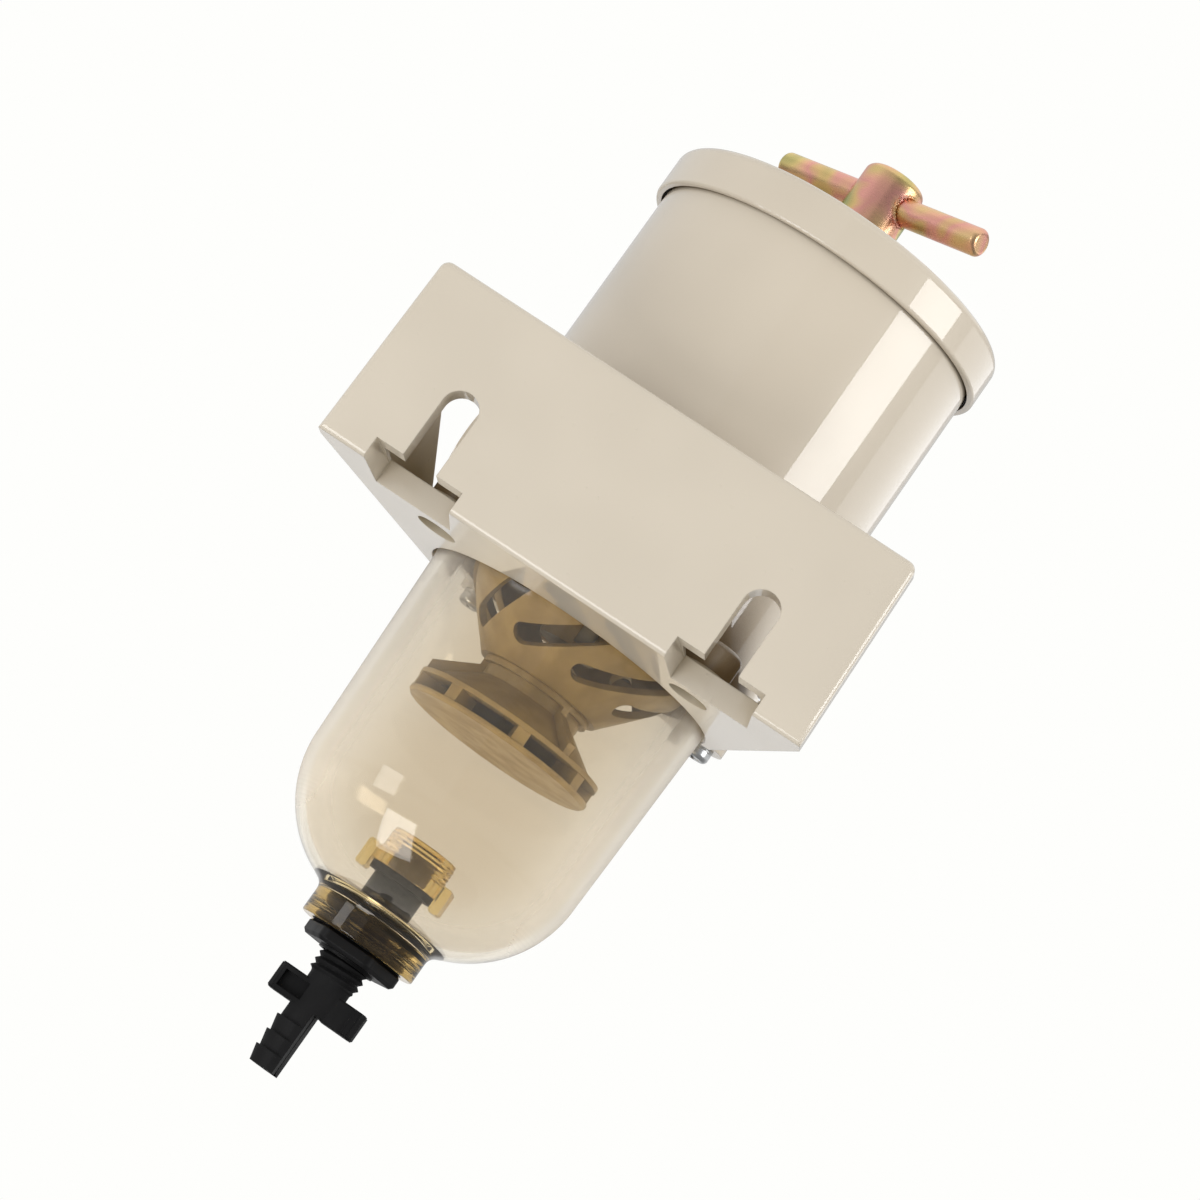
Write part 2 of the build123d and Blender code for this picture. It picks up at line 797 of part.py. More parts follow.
with BuildPart() as check_ball:
    with BuildSketch(section):
        with BuildLine():
            CenterArc((0, cage_floor_top + ball_radius), ball_radius, -90, 180)
            Line((0, cage_floor_top), (0, cage_floor_top + 2 * ball_radius))
        make_face()
    revolve(axis=can_axis)
check_ball.part.label = "check_ball"

# Return tube, screwed into the hub; the T handle's stem screws into its top
stem_bore = stem_radius + valve_running_gap
shoulder_top = hub_top + tube_shoulder_thickness
element_top = shoulder_top + element_length
tube_top = element_top
with BuildPart() as return_tube:
    with BuildSketch(section):
        with BuildLine():
            Polyline(
                (stem_bore, hub_top - tube_thread_length),
                (tube_radius, hub_top - tube_thread_length),
                (tube_radius, hub_top),
                (tube_shoulder_radius, hub_top),
                (tube_shoulder_radius, shoulder_top),
                (tube_radius, shoulder_top),
                (tube_radius, tube_top),
                (stem_bore, tube_top),
                close=True,
            )
        make_face()
    revolve(axis=can_axis)
    for angle in (0, 90):
        with BuildSketch(radial(angle, 0, shoulder_top + tube_hole_rise)):
            Circle(tube_hole_radius)
        extrude(amount=tube_radius + clear, both=True, mode=Mode.SUBTRACT)
return_tube.part.label = "return_tube"

# Filter element: two end caps, pleated media, perforated core and the seal on the return tube
cap_low_top = shoulder_top + cap_thickness
media_top = element_top - cap_thickness
seal_inner = tube_radius + thread_gap
seal_outer = seal_inner + seal_width
element_bottom_cap = turned(
    [
        (seal_outer, shoulder_top),
        (element_radius, shoulder_top),
        (element_radius, cap_low_top + cap_lip),
        (element_radius - cap_lip_wall, cap_low_top + cap_lip),
        (element_radius - cap_lip_wall, cap_low_top),
        (seal_outer, cap_low_top),
    ]
)
element_bottom_cap.part.label = "element_bottom_cap"

element_top_cap = turned(
    [
        (tube_radius + slip_gap, media_top),
        (element_radius - cap_lip_wall, media_top),
        (element_radius - cap_lip_wall, media_top - cap_lip),
        (element_radius, media_top - cap_lip),
        (element_radius, element_top),
        (tube_radius + slip_gap, element_top),
    ]
)
element_top_cap.part.label = "element_top_cap"

element_seal = ring(seal_inner, seal_outer, shoulder_top, cap_low_top)
element_seal.part.label = "element_seal"

media_outer = element_radius - cap_lip_wall - slip_gap
pleat_step = 180 / pleat_count
pleat_corners = []
for number in range(2 * pleat_count):
    radius = media_outer if number % 2 == 0 else media_inner
    turn = math.radians(number * pleat_step)
    pleat_corners.append((radius * math.cos(turn), radius * math.sin(turn)))
with BuildPart() as element_media:
    with BuildSketch(level(cap_low_top)):
        with BuildLine():
            Polyline(*pleat_corners, close=True)
        make_face()
        Circle(media_inner - slip_gap, mode=Mode.SUBTRACT)
    extrude(amount=media_top - cap_low_top)
element_media.part.label = "element_media"

with BuildPart() as element_core:
    with BuildSketch(level(cap_low_top)):
        Circle(core_radius)
        Circle(core_radius - core_wall, mode=Mode.SUBTRACT)
    extrude(amount=media_top - cap_low_top)
    row_step = (media_top - cap_low_top) / core_hole_rows
    for row in range(core_hole_rows):
        for column in range(core_hole_columns):
            angle = (column + 0.5 * (row % 2)) * 360 / core_hole_columns
            height = cap_low_top + (row + 0.5) * row_step
            with BuildSketch(radial(angle, core_radius - 2 * core_wall, height)):
                Circle(core_hole_radius)
            extrude(amount=3 * core_wall, mode=Mode.SUBTRACT)
element_core.part.label = "element_core"

# Lid with a raised boss, and its gasket on the can's rim
gasket_top = can_rim + lid_gasket_thickness
lid_skirt_bottom = can_rim - lid_skirt_depth
lid_top = can_rim + lid_rise
lid_boss_top = can_rim + lid_boss_rise
gasket_inner = can_radius - lid_gasket_width
lid_bore = stem_radius + stem_gap
o_ring_floor = lid_boss_top - handle_o_ring_thickness
o_ring_outer = lid_bore + handle_o_ring_width
with BuildPart() as lid:
    with BuildSketch(section):
        with BuildLine():
            Polyline(
                (lid_bore, lid_boss_top - 2 * lid_plate),
                (lid_boss_radius - lid_gap, lid_boss_top - 2 * lid_plate),
                (lid_dish_radius, gasket_top),
                (can_radius + lid_gap, gasket_top),
                (can_radius + lid_gap, lid_skirt_bottom),
                (lid_radius, lid_skirt_bottom),
                (lid_radius, lid_top),
                (lid_dish_radius, lid_top),
                (lid_boss_radius + lid_edge_round, lid_boss_top - lid_edge_round),
                (lid_boss_radius, lid_boss_top),
                (o_ring_outer, lid_boss_top),
                (o_ring_outer, o_ring_floor),
                (lid_bore, o_ring_floor),
                close=True,
            )
        make_face()
        fillet(vertices().sort_by_distance((lid_radius, lid_top))[0], lid_edge_round)
        fillet(vertices().sort_by_distance((lid_radius, lid_skirt_bottom))[0], lid_gap)
    revolve(axis=can_axis)
lid.part.label = "lid"

lid_gasket = ring(gasket_inner, can_radius, can_rim, gasket_top)
lid_gasket.part.label = "lid_gasket"

# T handle: washer and O ring under a turned hub with its stem, and a bar pressed through it
handle_o_ring = ring(lid_bore, o_ring_outer, o_ring_floor, lid_boss_top)
handle_o_ring.part.label = "handle_o_ring"

washer_top = lid_boss_top + handle_washer_thickness
handle_washer = ring(lid_bore, handle_washer_radius, lid_boss_top, washer_top)
handle_washer.part.label = "handle_washer"

bar_height = washer_top + bar_rise
handle_top = bar_height + hub_above_bar
stem_bottom = tube_top - stem_engagement
bar_turn = math.radians(bar_angle)
bar_middle = (0, axis_y, base_z + bar_height)
bar_plane = Plane(origin=bar_middle, x_dir=(0, 0, 1), z_dir=(math.cos(bar_turn), math.sin(bar_turn), 0))
with BuildPart() as handle_hub:
    with BuildSketch(level(washer_top)):
        Circle(hub_handle_radius)
    extrude(amount=handle_top - washer_top)
    fillet(handle_hub.faces().sort_by(Axis.Z)[-1].edges(), handle_edge_round)
    with BuildSketch(level(stem_bottom)):
        Circle(stem_radius)
    extrude(amount=washer_top - stem_bottom)
    chamfer(handle_hub.faces().sort_by(Axis.Z)[0].edges(), valve_running_gap * 20)
    with BuildSketch(bar_plane):
        Circle(bar_radius + bar_gap)
    extrude(amount=bar_length / 2, both=True, mode=Mode.SUBTRACT)
handle_hub.part.label = "handle_hub"

with BuildPart() as handle_bar:
    with BuildSketch(bar_plane):
        Circle(bar_radius)
    extrude(amount=bar_length / 2, both=True)
    fillet(handle_bar.edges().filter_by(GeomType.CIRCLE), bar_end_round)
handle_bar.part.label = "handle_bar"

# Drain bush, screwed up into the bowl's neck
bush_outer = neck_bore - bush_gap
bush_neck_top = neck_ceiling + bush_neck_rise
bush_stem_top = neck_ceiling + bush_stem_rise
hex_top = neck_bottom
hex_bottom = hex_top - bush_hex_thickness
thread_bore = valve_thread_radius + valve_running_gap
valve_thread_low = neck_bottom - valve_thread_drop
valve_thread_top = neck_bottom + valve_thread_rise
thread_bore_top = valve_thread_top + valve_thread_room
valve_chamber_top = bush_stem_top - bush_narrow_length
stem_hole = valve_stem_radius + valve_running_gap
with BuildPart() as drain_bush:
    with BuildSketch(level(hex_bottom)):
        RegularPolygon(bush_hex_across / 2, 6, major_radius=False)
        fillet(vertices(), bush_hex_corner_round)
    extrude(amount=bush_hex_thickness)
    chamfer(edges().filter_by(Axis.Z, reverse=True), bush_hex_chamfer)
    with BuildSketch(level(hex_bottom)):
        Circle(bush_skirt_radius - bush_skirt_height / 2)
    extrude(amount=bush_hex_thickness, mode=Mode.SUBTRACT)
    with BuildSketch(section):
        with BuildLine():
            Polyline(
                (stem_hole, bush_stem_top),
                (bush_stem_radius, bush_stem_top),
                (bush_stem_radius, bush_neck_top),
                (bush_neck_radius, bush_neck_top),
                (bush_neck_radius, neck_ceiling),
                (bush_outer - drain_ring_width, neck_ceiling),
                (bush_outer - drain_ring_width, neck_ceiling - drain_ring_height),
                (bush_outer, neck_ceiling - drain_ring_height),
                (bush_outer, hex_top),
                (bush_skirt_radius, hex_top),
                (bush_skirt_radius, hex_bottom - bush_skirt_height),
                (thread_bore, hex_bottom - bush_skirt_height),
                (thread_bore, thread_bore_top),
                (valve_chamber_radius, thread_bore_top),
                (valve_chamber_radius, valve_chamber_top),
                (stem_hole, valve_chamber_top),
                close=True,
            )
        make_face()
    revolve(axis=can_axis)
drain_bush.part.label = "drain_bush"

drain_o_ring = ring(bush_outer - drain_ring_width, neck_bore, neck_ceiling - drain_ring_height, neck_ceiling)
drain_o_ring.part.label = "drain_o_ring"

# Seal washer and seat nut on the bush's stem, inside the bowl
washer_under_nut = bush_neck_top + seal_washer_thickness
drain_seal_washer = ring(bush_stem_radius, seal_washer_radius, bush_neck_top, washer_under_nut)
drain_seal_washer.part.label = "drain_seal_washer"

nut_bore = bush_stem_radius + valve_running_gap
with BuildPart() as drain_seat_nut:
    with BuildSketch(level(washer_under_nut)):
        Circle(seat_nut_radius)
    extrude(amount=seat_nut_thickness)
    with BuildSketch(level(washer_under_nut)):
        Circle(seat_nut_collar_radius)
    extrude(amount=seat_nut_height)
    with BuildSketch(level(washer_under_nut - seat_nut_lug_drop)):
        for side in (1, -1):
            with Locations((side * (seat_nut_lug_radius - seat_nut_lug_wall / 2), 0)):
                Rectangle(seat_nut_lug_wall, seat_nut_lug_width)
    extrude(amount=seat_nut_lug_drop + seat_nut_thickness)
    with BuildSketch(level(washer_under_nut)):
        Circle(nut_bore)
    extrude(amount=seat_nut_height, mode=Mode.SUBTRACT)
drain_seat_nut.part.label = "drain_seat_nut"

# Drain valve: threaded plug with a wing grip, a stem up into the bush and a flat-sided hose barb
valve_stem_top = bush_stem_top - valve_stem_setback
valve_cross_hole = valve_stem_top - valve_cross_hole_depth
wing_top = neck_bottom - wing_drop
wing_bottom = wing_top - wing_height
barb_tip = wing_bottom - barb_length
barb_teeth = [wing_bottom - barb_first_tooth - n * barb_tooth_pitch for n in range(barb_tooth_count)]
seal_low = valve_stem_top - 2 * valve_seal_height
barb_profile = [(valve_bore_radius, barb_tip), (barb_radius, barb_tip)]
barb_crest = barb_radius + barb_tooth
for tooth in reversed(barb_teeth):
    barb_profile += [(barb_radius, tooth - barb_taper), (barb_crest, tooth), (barb_radius, tooth)]
with BuildPart() as drain_valve:
    with BuildSketch(section):
        with BuildLine():
            Polyline(
                *barb_profile,
                (barb_radius, wing_bottom),
                (barb_radius, wing_top),
                (valve_neck_radius, wing_top),
                (valve_neck_radius, valve_thread_low),
                (valve_thread_radius, valve_thread_low),
                (valve_thread_radius, valve_thread_top),
                (valve_stem_radius, valve_thread_top),
                (valve_stem_radius, seal_low),
                (valve_stem_radius - valve_seal_width, seal_low),
                (valve_stem_radius - valve_seal_width, seal_low + valve_seal_height),
                (valve_stem_radius, seal_low + valve_seal_height),
                (valve_stem_radius, valve_stem_top),
                (0, valve_stem_top),
                (0, valve_cross_hole),
                (valve_bore_radius, valve_cross_hole),
                close=True,
            )
        make_face()
    revolve(axis=can_axis)
    # Flat along the barb, facing one side
    with BuildSketch(level(barb_tip)):
        with Locations((-barb_flat - barb_radius, 0)):
            Rectangle(2 * barb_radius, 4 * barb_radius)
    extrude(amount=wing_bottom - barb_tip, mode=Mode.SUBTRACT)
    # Wing grip with a pocket in one face of each wing
    with BuildSketch(level(wing_bottom)):
        Rectangle(wing_span, wing_thickness)
        Circle(barb_radius, mode=Mode.SUBTRACT)
    extrude(amount=wing_top - wing_bottom)
    pocket_width = wing_span / 2 - barb_radius - barb_tooth
    for side in (1, -1):
        pocket = Plane(
            origin=(
                side * (wing_span / 2 - barb_tooth - pocket_width / 2),
                axis_y + side * wing_thickness / 2,
                base_z + (wing_top + wing_bottom) / 2,
            ),
            x_dir=(1, 0, 0),
            z_dir=(0, side, 0),
        )
        with BuildSketch(pocket):
            Rectangle(pocket_width - barb_tooth, wing_height - 3 * barb_tooth)
        extrude(amount=-wing_pocket_depth, mode=Mode.SUBTRACT)
    with BuildSketch(radial(0, 0, valve_cross_hole + valve_bore_radius)):
        Circle(valve_bore_radius * 0.8)
    extrude(amount=valve_stem_radius + clear, both=True, mode=Mode.SUBTRACT)
drain_valve.part.label = "drain_valve"

drain_valve_seal = ring(
    valve_stem_radius - valve_seal_width, valve_stem_radius, seal_low, seal_low + valve_seal_height
)
drain_valve_seal.part.label = "drain_valve_seal"

pieces = (
    mounting_bracket,
    filter_body,
    clamp_screws,
    lock_washers,
    clear_bowl,
    bowl_gasket,
    turbine,
    turbine_screws,
    vane_disc,
    check_ball_seat,
    check_ball,
    return_tube,
    element_bottom_cap,
    element_top_cap,
    element_seal,
    element_media,
    element_core,
    lid,
    lid_gasket,
    handle_o_ring,
    handle_washer,
    handle_hub,
    handle_bar,
    drain_bush,
    drain_o_ring,
    drain_seal_washer,
    drain_seat_nut,
    drain_valve,
    drain_valve_seal,
)
for piece in pieces:
    export_step(piece.part, f"parts/{piece.part.label}.step")
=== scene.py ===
"""Finishes, finer pieces, studio and camera for a wall-mounted fuel filter and water separator.

Sizes of the object's pieces and finishes are in millimetres, heights are above the bracket's
underside and radii are from the can's axis. The studio and the camera's place are in metres.
"""

import logging
import math
import random
from dataclasses import dataclass, field
from enum import Enum
from typing import Callable, Sequence, Union

import bmesh
import bpy
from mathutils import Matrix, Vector


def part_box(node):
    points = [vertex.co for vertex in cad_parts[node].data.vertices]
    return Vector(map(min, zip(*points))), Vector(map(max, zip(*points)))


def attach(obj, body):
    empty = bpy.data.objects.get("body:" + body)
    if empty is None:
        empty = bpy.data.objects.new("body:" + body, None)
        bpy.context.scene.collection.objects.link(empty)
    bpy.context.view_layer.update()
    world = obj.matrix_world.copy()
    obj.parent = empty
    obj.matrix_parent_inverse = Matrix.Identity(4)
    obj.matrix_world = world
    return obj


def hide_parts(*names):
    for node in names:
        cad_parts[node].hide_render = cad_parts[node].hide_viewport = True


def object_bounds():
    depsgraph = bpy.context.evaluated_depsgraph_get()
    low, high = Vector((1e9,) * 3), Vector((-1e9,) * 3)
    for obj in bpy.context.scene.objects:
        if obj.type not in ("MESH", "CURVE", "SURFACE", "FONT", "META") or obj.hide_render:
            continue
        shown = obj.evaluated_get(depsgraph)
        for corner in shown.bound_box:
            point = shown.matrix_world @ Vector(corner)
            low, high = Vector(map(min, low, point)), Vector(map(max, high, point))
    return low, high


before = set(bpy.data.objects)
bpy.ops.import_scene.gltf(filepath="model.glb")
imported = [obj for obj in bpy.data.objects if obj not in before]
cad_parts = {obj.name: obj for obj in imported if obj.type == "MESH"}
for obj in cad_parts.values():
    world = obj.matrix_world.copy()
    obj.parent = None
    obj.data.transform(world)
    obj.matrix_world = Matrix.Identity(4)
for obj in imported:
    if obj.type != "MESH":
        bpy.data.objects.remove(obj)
cad_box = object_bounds()

log = logging.getLogger("separator")

# A millimetre in metres, and the distance in metres below which places count as one
MM = 0.001
TOUCH = 0.0001

# The range that holds most of a noise
NOISE_LOW = 0.3
NOISE_HIGH = 0.7

# The rays that a finish sends out to round an edge
BEVEL_SAMPLES = 6

# The angle above which an edge stays sharp, and the share of a straight that one rounding may take
SHARP = math.radians(35.0)
ROUNDING_SHARE = 0.49

Colour = tuple[float, float, float, float]
Point = tuple[float, float]
Tones = tuple[tuple[float, float], ...]
Stops = tuple[tuple[float, Colour], ...]
Value = Union["Wire", float, Sequence[float]]
Mould = Callable[[float, float, float], Point]
Ring = list[bmesh.types.BMVert]


def srgb(red: float, green: float, blue: float) -> Colour:
    """Turns a screen colour into the linear one that a shader takes.

    Args:
        red: Red from 0 to 255.
        green: Green from 0 to 255.
        blue: Blue from 0 to 255.

    Returns:
        The linear colour with an alpha of 1.
    """
    linear = []
    for level in (red, green, blue):
        share = level / 255
        linear.append(share / 12.92 if share <= 0.04045 else ((share + 0.055) / 1.055) ** 2.4)
    return (linear[0], linear[1], linear[2], 1.0)


def grey(level: float) -> Colour:
    """Gives a grey from a linear level."""
    return (level, level, level, 1.0)


class Wire:
    """A node's output that takes part in sums, so that shader maths reads as maths."""

    def __init__(self, graph: "Graph", socket: bpy.types.NodeSocket) -> None:
        """Keeps the socket and the graph that it belongs to."""
        self.graph = graph
        self.socket = socket

    def _sum(self, operation: str, first: Value, second: Value) -> "Wire":
        """Adds one Math node on two values."""
        return self.graph.node("ShaderNodeMath", {"operation": operation}, {0: first, 1: second})

    def __add__(self, other: Value) -> "Wire":
        """Gives self + other."""
        return self._sum("ADD", self, other)

    def __radd__(self, other: Value) -> "Wire":
        """Gives other + self."""
        return self._sum("ADD", other, self)

    def __sub__(self, other: Value) -> "Wire":
        """Gives self - other."""
        return self._sum("SUBTRACT", self, other)

    def __rsub__(self, other: Value) -> "Wire":
        """Gives other - self."""
        return self._sum("SUBTRACT", other, self)

    def __mul__(self, other: Value) -> "Wire":
        """Gives self * other."""
        return self._sum("MULTIPLY", self, other)

    def __rmul__(self, other: Value) -> "Wire":
        """Gives other * self."""
        return self._sum("MULTIPLY", other, self)

    def clamped(self) -> "Wire":
        """Gives self held between 0 and 1."""
        return self.graph.node("ShaderNodeClamp", {}, {0: self})


class Graph:
    """The nodes of one material, or of the world."""

    def __init__(self, name: str, of_world: bool = False) -> None:
        """Makes an empty material or world.

        Args:
            name: Its name.
            of_world: Whether it is a world.
        """
        self.owner = bpy.data.worlds.new(name) if of_world else bpy.data.materials.new(name)
        self.owner.use_nodes = True
        self.tree = self.owner.node_tree
        self.tree.nodes.clear()
        kind = "ShaderNodeOutputWorld" if of_world else "ShaderNodeOutputMaterial"
        self.output = self.tree.nodes.new(kind)

    def feed(self, socket: bpy.types.NodeSocket, value: Value) -> None:
        """Links a wire to a socket, or sets the socket to a constant.

        Args:
            socket: The input to fill.
            value: A wire, a number, a vector or a colour.
        """
        if isinstance(value, Wire):
            self.tree.links.new(value.socket, socket)
        else:
            socket.default_value = value

    def node(
        self,
        kind: str,
        settings: dict[str, object],
        inputs: dict[Union[int, str], Value],
        output: Union[int, str] = 0,
    ) -> Wire:
        """Adds a node, with its settings first and then its inputs.

        Args:
            kind: The node's type.
            settings: The node's own properties; stops are a ramp's positions and colours.
            inputs: Values or wires by socket.
            output: The output that the wire is taken from.

        Returns:
            A wire from that output.
        """
        made = self.tree.nodes.new(kind)
        for key, setting in settings.items():
            if key == "stops":
                ramp = made.color_ramp
                while len(ramp.elements) < len(setting):
                    ramp.elements.new(0.5)
                for element, (position, colour) in zip(ramp.elements, setting):
                    element.position = position
                    element.color = colour
            else:
                setattr(made, key, setting)
        for key, value in inputs.items():
            self.feed(made.inputs[key], value)
        return Wire(self, made.outputs[output])

    def place(self) -> Wire:
        """Gives the point in the object's own coordinates, in metres."""
        return self.node("ShaderNodeTexCoord", {}, {}, "Object")

    def axis_of(self, vector: Wire, axis: str) -> Wire:
        """Gives one coordinate of a vector, named X, Y or Z."""
        return self.node("ShaderNodeSeparateXYZ", {}, {0: vector}, axis)

    def stretched(self, vector: Wire, scale: Sequence[float]) -> Wire:
        """Gives a vector multiplied by a scale along each axis."""
        return self.node("ShaderNodeVectorMath", {"operation": "MULTIPLY"}, {0: vector, 1: scale})

    def noise(self, vector: Wire, size: float, detail: float = 3.0, roughness: float = 0.5) -> Wire:
        """Adds a noise whose lumps are about one size across.

        Args:
            vector: The point at which the noise is read.
            size: Size of the lumps in millimetres.
            detail: Number of finer layers.
            roughness: Strength of the finer layers.

        Returns:
            A wire from 0 to 1, mostly near 0.5.
        """
        scale = 1 / (size * MM)
        inputs = {"Vector": vector, "Scale": scale, "Detail": detail, "Roughness": roughness}
        return self.node("ShaderNodeTexNoise", {}, inputs)

    def between(self, value: Wire, low: float, high: float, start: float = 0.0, end: float = 1.0) -> Wire:
        """Maps a value's range onto another one, smoothly and clamped.

        Args:
            value: The value.
            low: The value that becomes start.
            high: The value that becomes end.
            start: Start of the new range.
            end: End of the new range.

        Returns:
            The mapped value.
        """
        return self.node(
            "ShaderNodeMapRange",
            {"interpolation_type": "SMOOTHSTEP"},
            {"Value": value, "From Min": low, "From Max": high, "To Min": start, "To Max": end},
        )

    def spread(self, noise: Wire, start: float = 0.0, end: float = 1.0) -> Wire:
        """Maps the range that holds most of a noise onto start to end."""
        return self.between(noise, NOISE_LOW, NOISE_HIGH, start, end)

    def seen_in_full(self) -> Wire:
        """Gives 1 for the rays of the camera, of gloss and of glass, and 0 for the rest."""
        kinds = ("Is Camera Ray", "Is Glossy Ray", "Is Transmission Ray")
        camera, gloss, glass = (self.node("ShaderNodeLightPath", {}, {}, kind) for kind in kinds)
        return (camera + gloss + glass).clamped()

    def blend(self, factor: Value, first: Value, second: Value, mode: str = "MIX") -> Wire:
        """Mixes two colours.

        Args:
            factor: Share of the second colour.
            first: The first colour.
            second: The second colour.
            mode: How they are mixed.

        Returns:
            The mixed colour.
        """
        settings = {"data_type": "RGBA", "blend_type": mode}
        return self.node("ShaderNodeMix", settings, {0: factor, 6: first, 7: second}, 2)

    def ramp(self, value: Wire, stops: Stops) -> Wire:
        """Turns a value from 0 to 1 into a colour by a ramp of positions and colours."""
        return self.node("ShaderNodeValToRGB", {"stops": stops}, {0: value}, "Color")

    def rounded_edges(self, radius: float) -> Wire:
        """Gives a normal that rounds sharp edges by a radius in millimetres."""
        return self.node("ShaderNodeBevel", {"samples": BEVEL_SAMPLES}, {"Radius": radius * MM})

    def bump(self, height: Wire, depth: float, normal: Union[Wire, None] = None) -> Wire:
        """Turns a height from 0 to 1 into a normal.

        Args:
            height: The height.
            depth: Depth of the relief in millimetres.
            normal: A normal to start from.

        Returns:
            The bumped normal.
        """
        inputs: dict[Union[int, str], Value] = {"Strength": 1.0, "Distance": depth * MM, "Height": height}
        if normal is not None:
            inputs["Normal"] = normal
        return self.node("ShaderNodeBump", {}, inputs)

    def surface(self, inputs: dict[Union[int, str], Value]) -> Wire:
        """Adds a Principled shader."""
        return self.node("ShaderNodeBsdfPrincipled", {}, inputs)

    def finish(self, shader: Wire) -> Union[bpy.types.Material, bpy.types.World]:
        """Ends the graph at a shader and gives its material or world."""
        self.feed(self.output.inputs["Surface"], shader)
        return self.owner


@dataclass(frozen=True)
class Finish:
    """A finish by name, with the record's slot that it belongs to. Its sizes are in millimetres."""

    name: str
    slot: str

    def build(self) -> bpy.types.Material:
        """Makes the finish's material."""
        raise NotImplementedError


@dataclass(frozen=True)
class GlossPaint(Finish):
    """Cream enamel over a die casting or a pressed can, with painted shade in its recesses."""

    colour: Colour = srgb(219, 208, 190)
    shade: Colour = srgb(215, 204, 186)
    metal: Colour = srgb(150, 142, 126)
    drift: float = 30.0
    # painted shade: the colour that the paint darkens to in recesses, with the reach and range of the
    # occlusion that sets it
    painted_shade: Colour = srgb(168, 150, 112)
    painted_shade_reach: float = 22.0
    painted_shade_full: float = 0.1
    painted_shade_edge: float = 0.75
    nib: float = 2.4
    nib_share: tuple[float, float] = (0.71, 0.77)
    nib_depth: float = 0.05
    peel: float = 2.2
    peel_depth: float = 0.002
    waviness: float = 16.0
    waviness_depth: float = 0.02
    edge: float = 0.6
    roughness: float = 0.34
    dulling: float = 0.04
    gloss: float = 0.3
    coat_roughness: float = 0.035
    scuffed: bool = True
    scuff_edge: float = 0.96
    scuff_bend: tuple[float, float] = (0.12, 0.3)
    scuff_dulling: float = 0.2
    scratch: float = 2.2
    scratch_stretch: float = 2.5
    scratch_share: tuple[float, float] = (0.6, 0.68)

    def build(self) -> bpy.types.Material:
        """Makes the paint: slow drift of tone, orange peel, a wavy casting, scuffed corners and painted
        shade where ambient occlusion finds recesses.
        """
        graph = Graph(self.name)
        place = graph.place()
        drift = graph.noise(place, self.drift, detail=1.0)
        colour = graph.blend(graph.spread(drift), self.colour, self.shade)
        roughness = graph.spread(drift, self.roughness, self.roughness + self.dulling)
        wave = graph.noise(place, self.waviness, detail=1.0)
        normal = graph.bump(wave, self.waviness_depth, graph.rounded_edges(self.edge))
        # painted shade: the colour darkens towards the shade colour where ambient occlusion finds the
        # surface sheltered
        reach = {"Distance": self.painted_shade_reach * MM}
        open_share = graph.node("ShaderNodeAmbientOcclusion", {}, reach, "AO")
        painted_shade_share = graph.between(open_share, self.painted_shade_full, self.painted_shade_edge, 1.0, 0.0)
        colour = graph.blend(painted_shade_share, colour, self.painted_shade)
        if self.scuffed:
            nibs = graph.between(graph.noise(place, self.nib, detail=1.0), *self.nib_share)
            normal = graph.bump(nibs, self.nib_depth, normal)
            scuff = self._scuff(graph, place)
            colour = graph.blend(scuff, colour, self.metal)
            roughness = (roughness + scuff * self.scuff_dulling).clamped()
        peel = graph.noise(place, self.peel, detail=1.0)
        return graph.finish(
            graph.surface(
                {
                    "Base Color": colour,
                    "Roughness": roughness,
                    "Specular IOR Level": self.gloss,
                    "Coat Weight": 1.0,
                    "Coat Roughness": self.coat_roughness,
                    "Normal": graph.bump(peel, self.peel_depth, normal),
                }
            )
        )

    def _scuff(self, graph: Graph, place: Wire) -> Wire:
        """Finds the sharp corners where scratches have gone through to the metal.

        Args:
            graph: The material's nodes.
            place: The point on the surface.

        Returns:
            A wire that is 1 on bare metal.
        """
        flat = graph.node("ShaderNodeNewGeometry", {}, {}, "Normal")
        aligned = graph.node(
            "ShaderNodeVectorMath",
            {"operation": "DOT_PRODUCT"},
            {0: graph.rounded_edges(self.scuff_edge), 1: flat},
            "Value",
        )
        stretched = graph.stretched(place, (1.0, 1.0, self.scratch_stretch))
        scratch = graph.noise(stretched, self.scratch, detail=4.0, roughness=0.7)
        return graph.between(1 - aligned, *self.scuff_bend) * graph.between(scratch, *self.scratch_share)


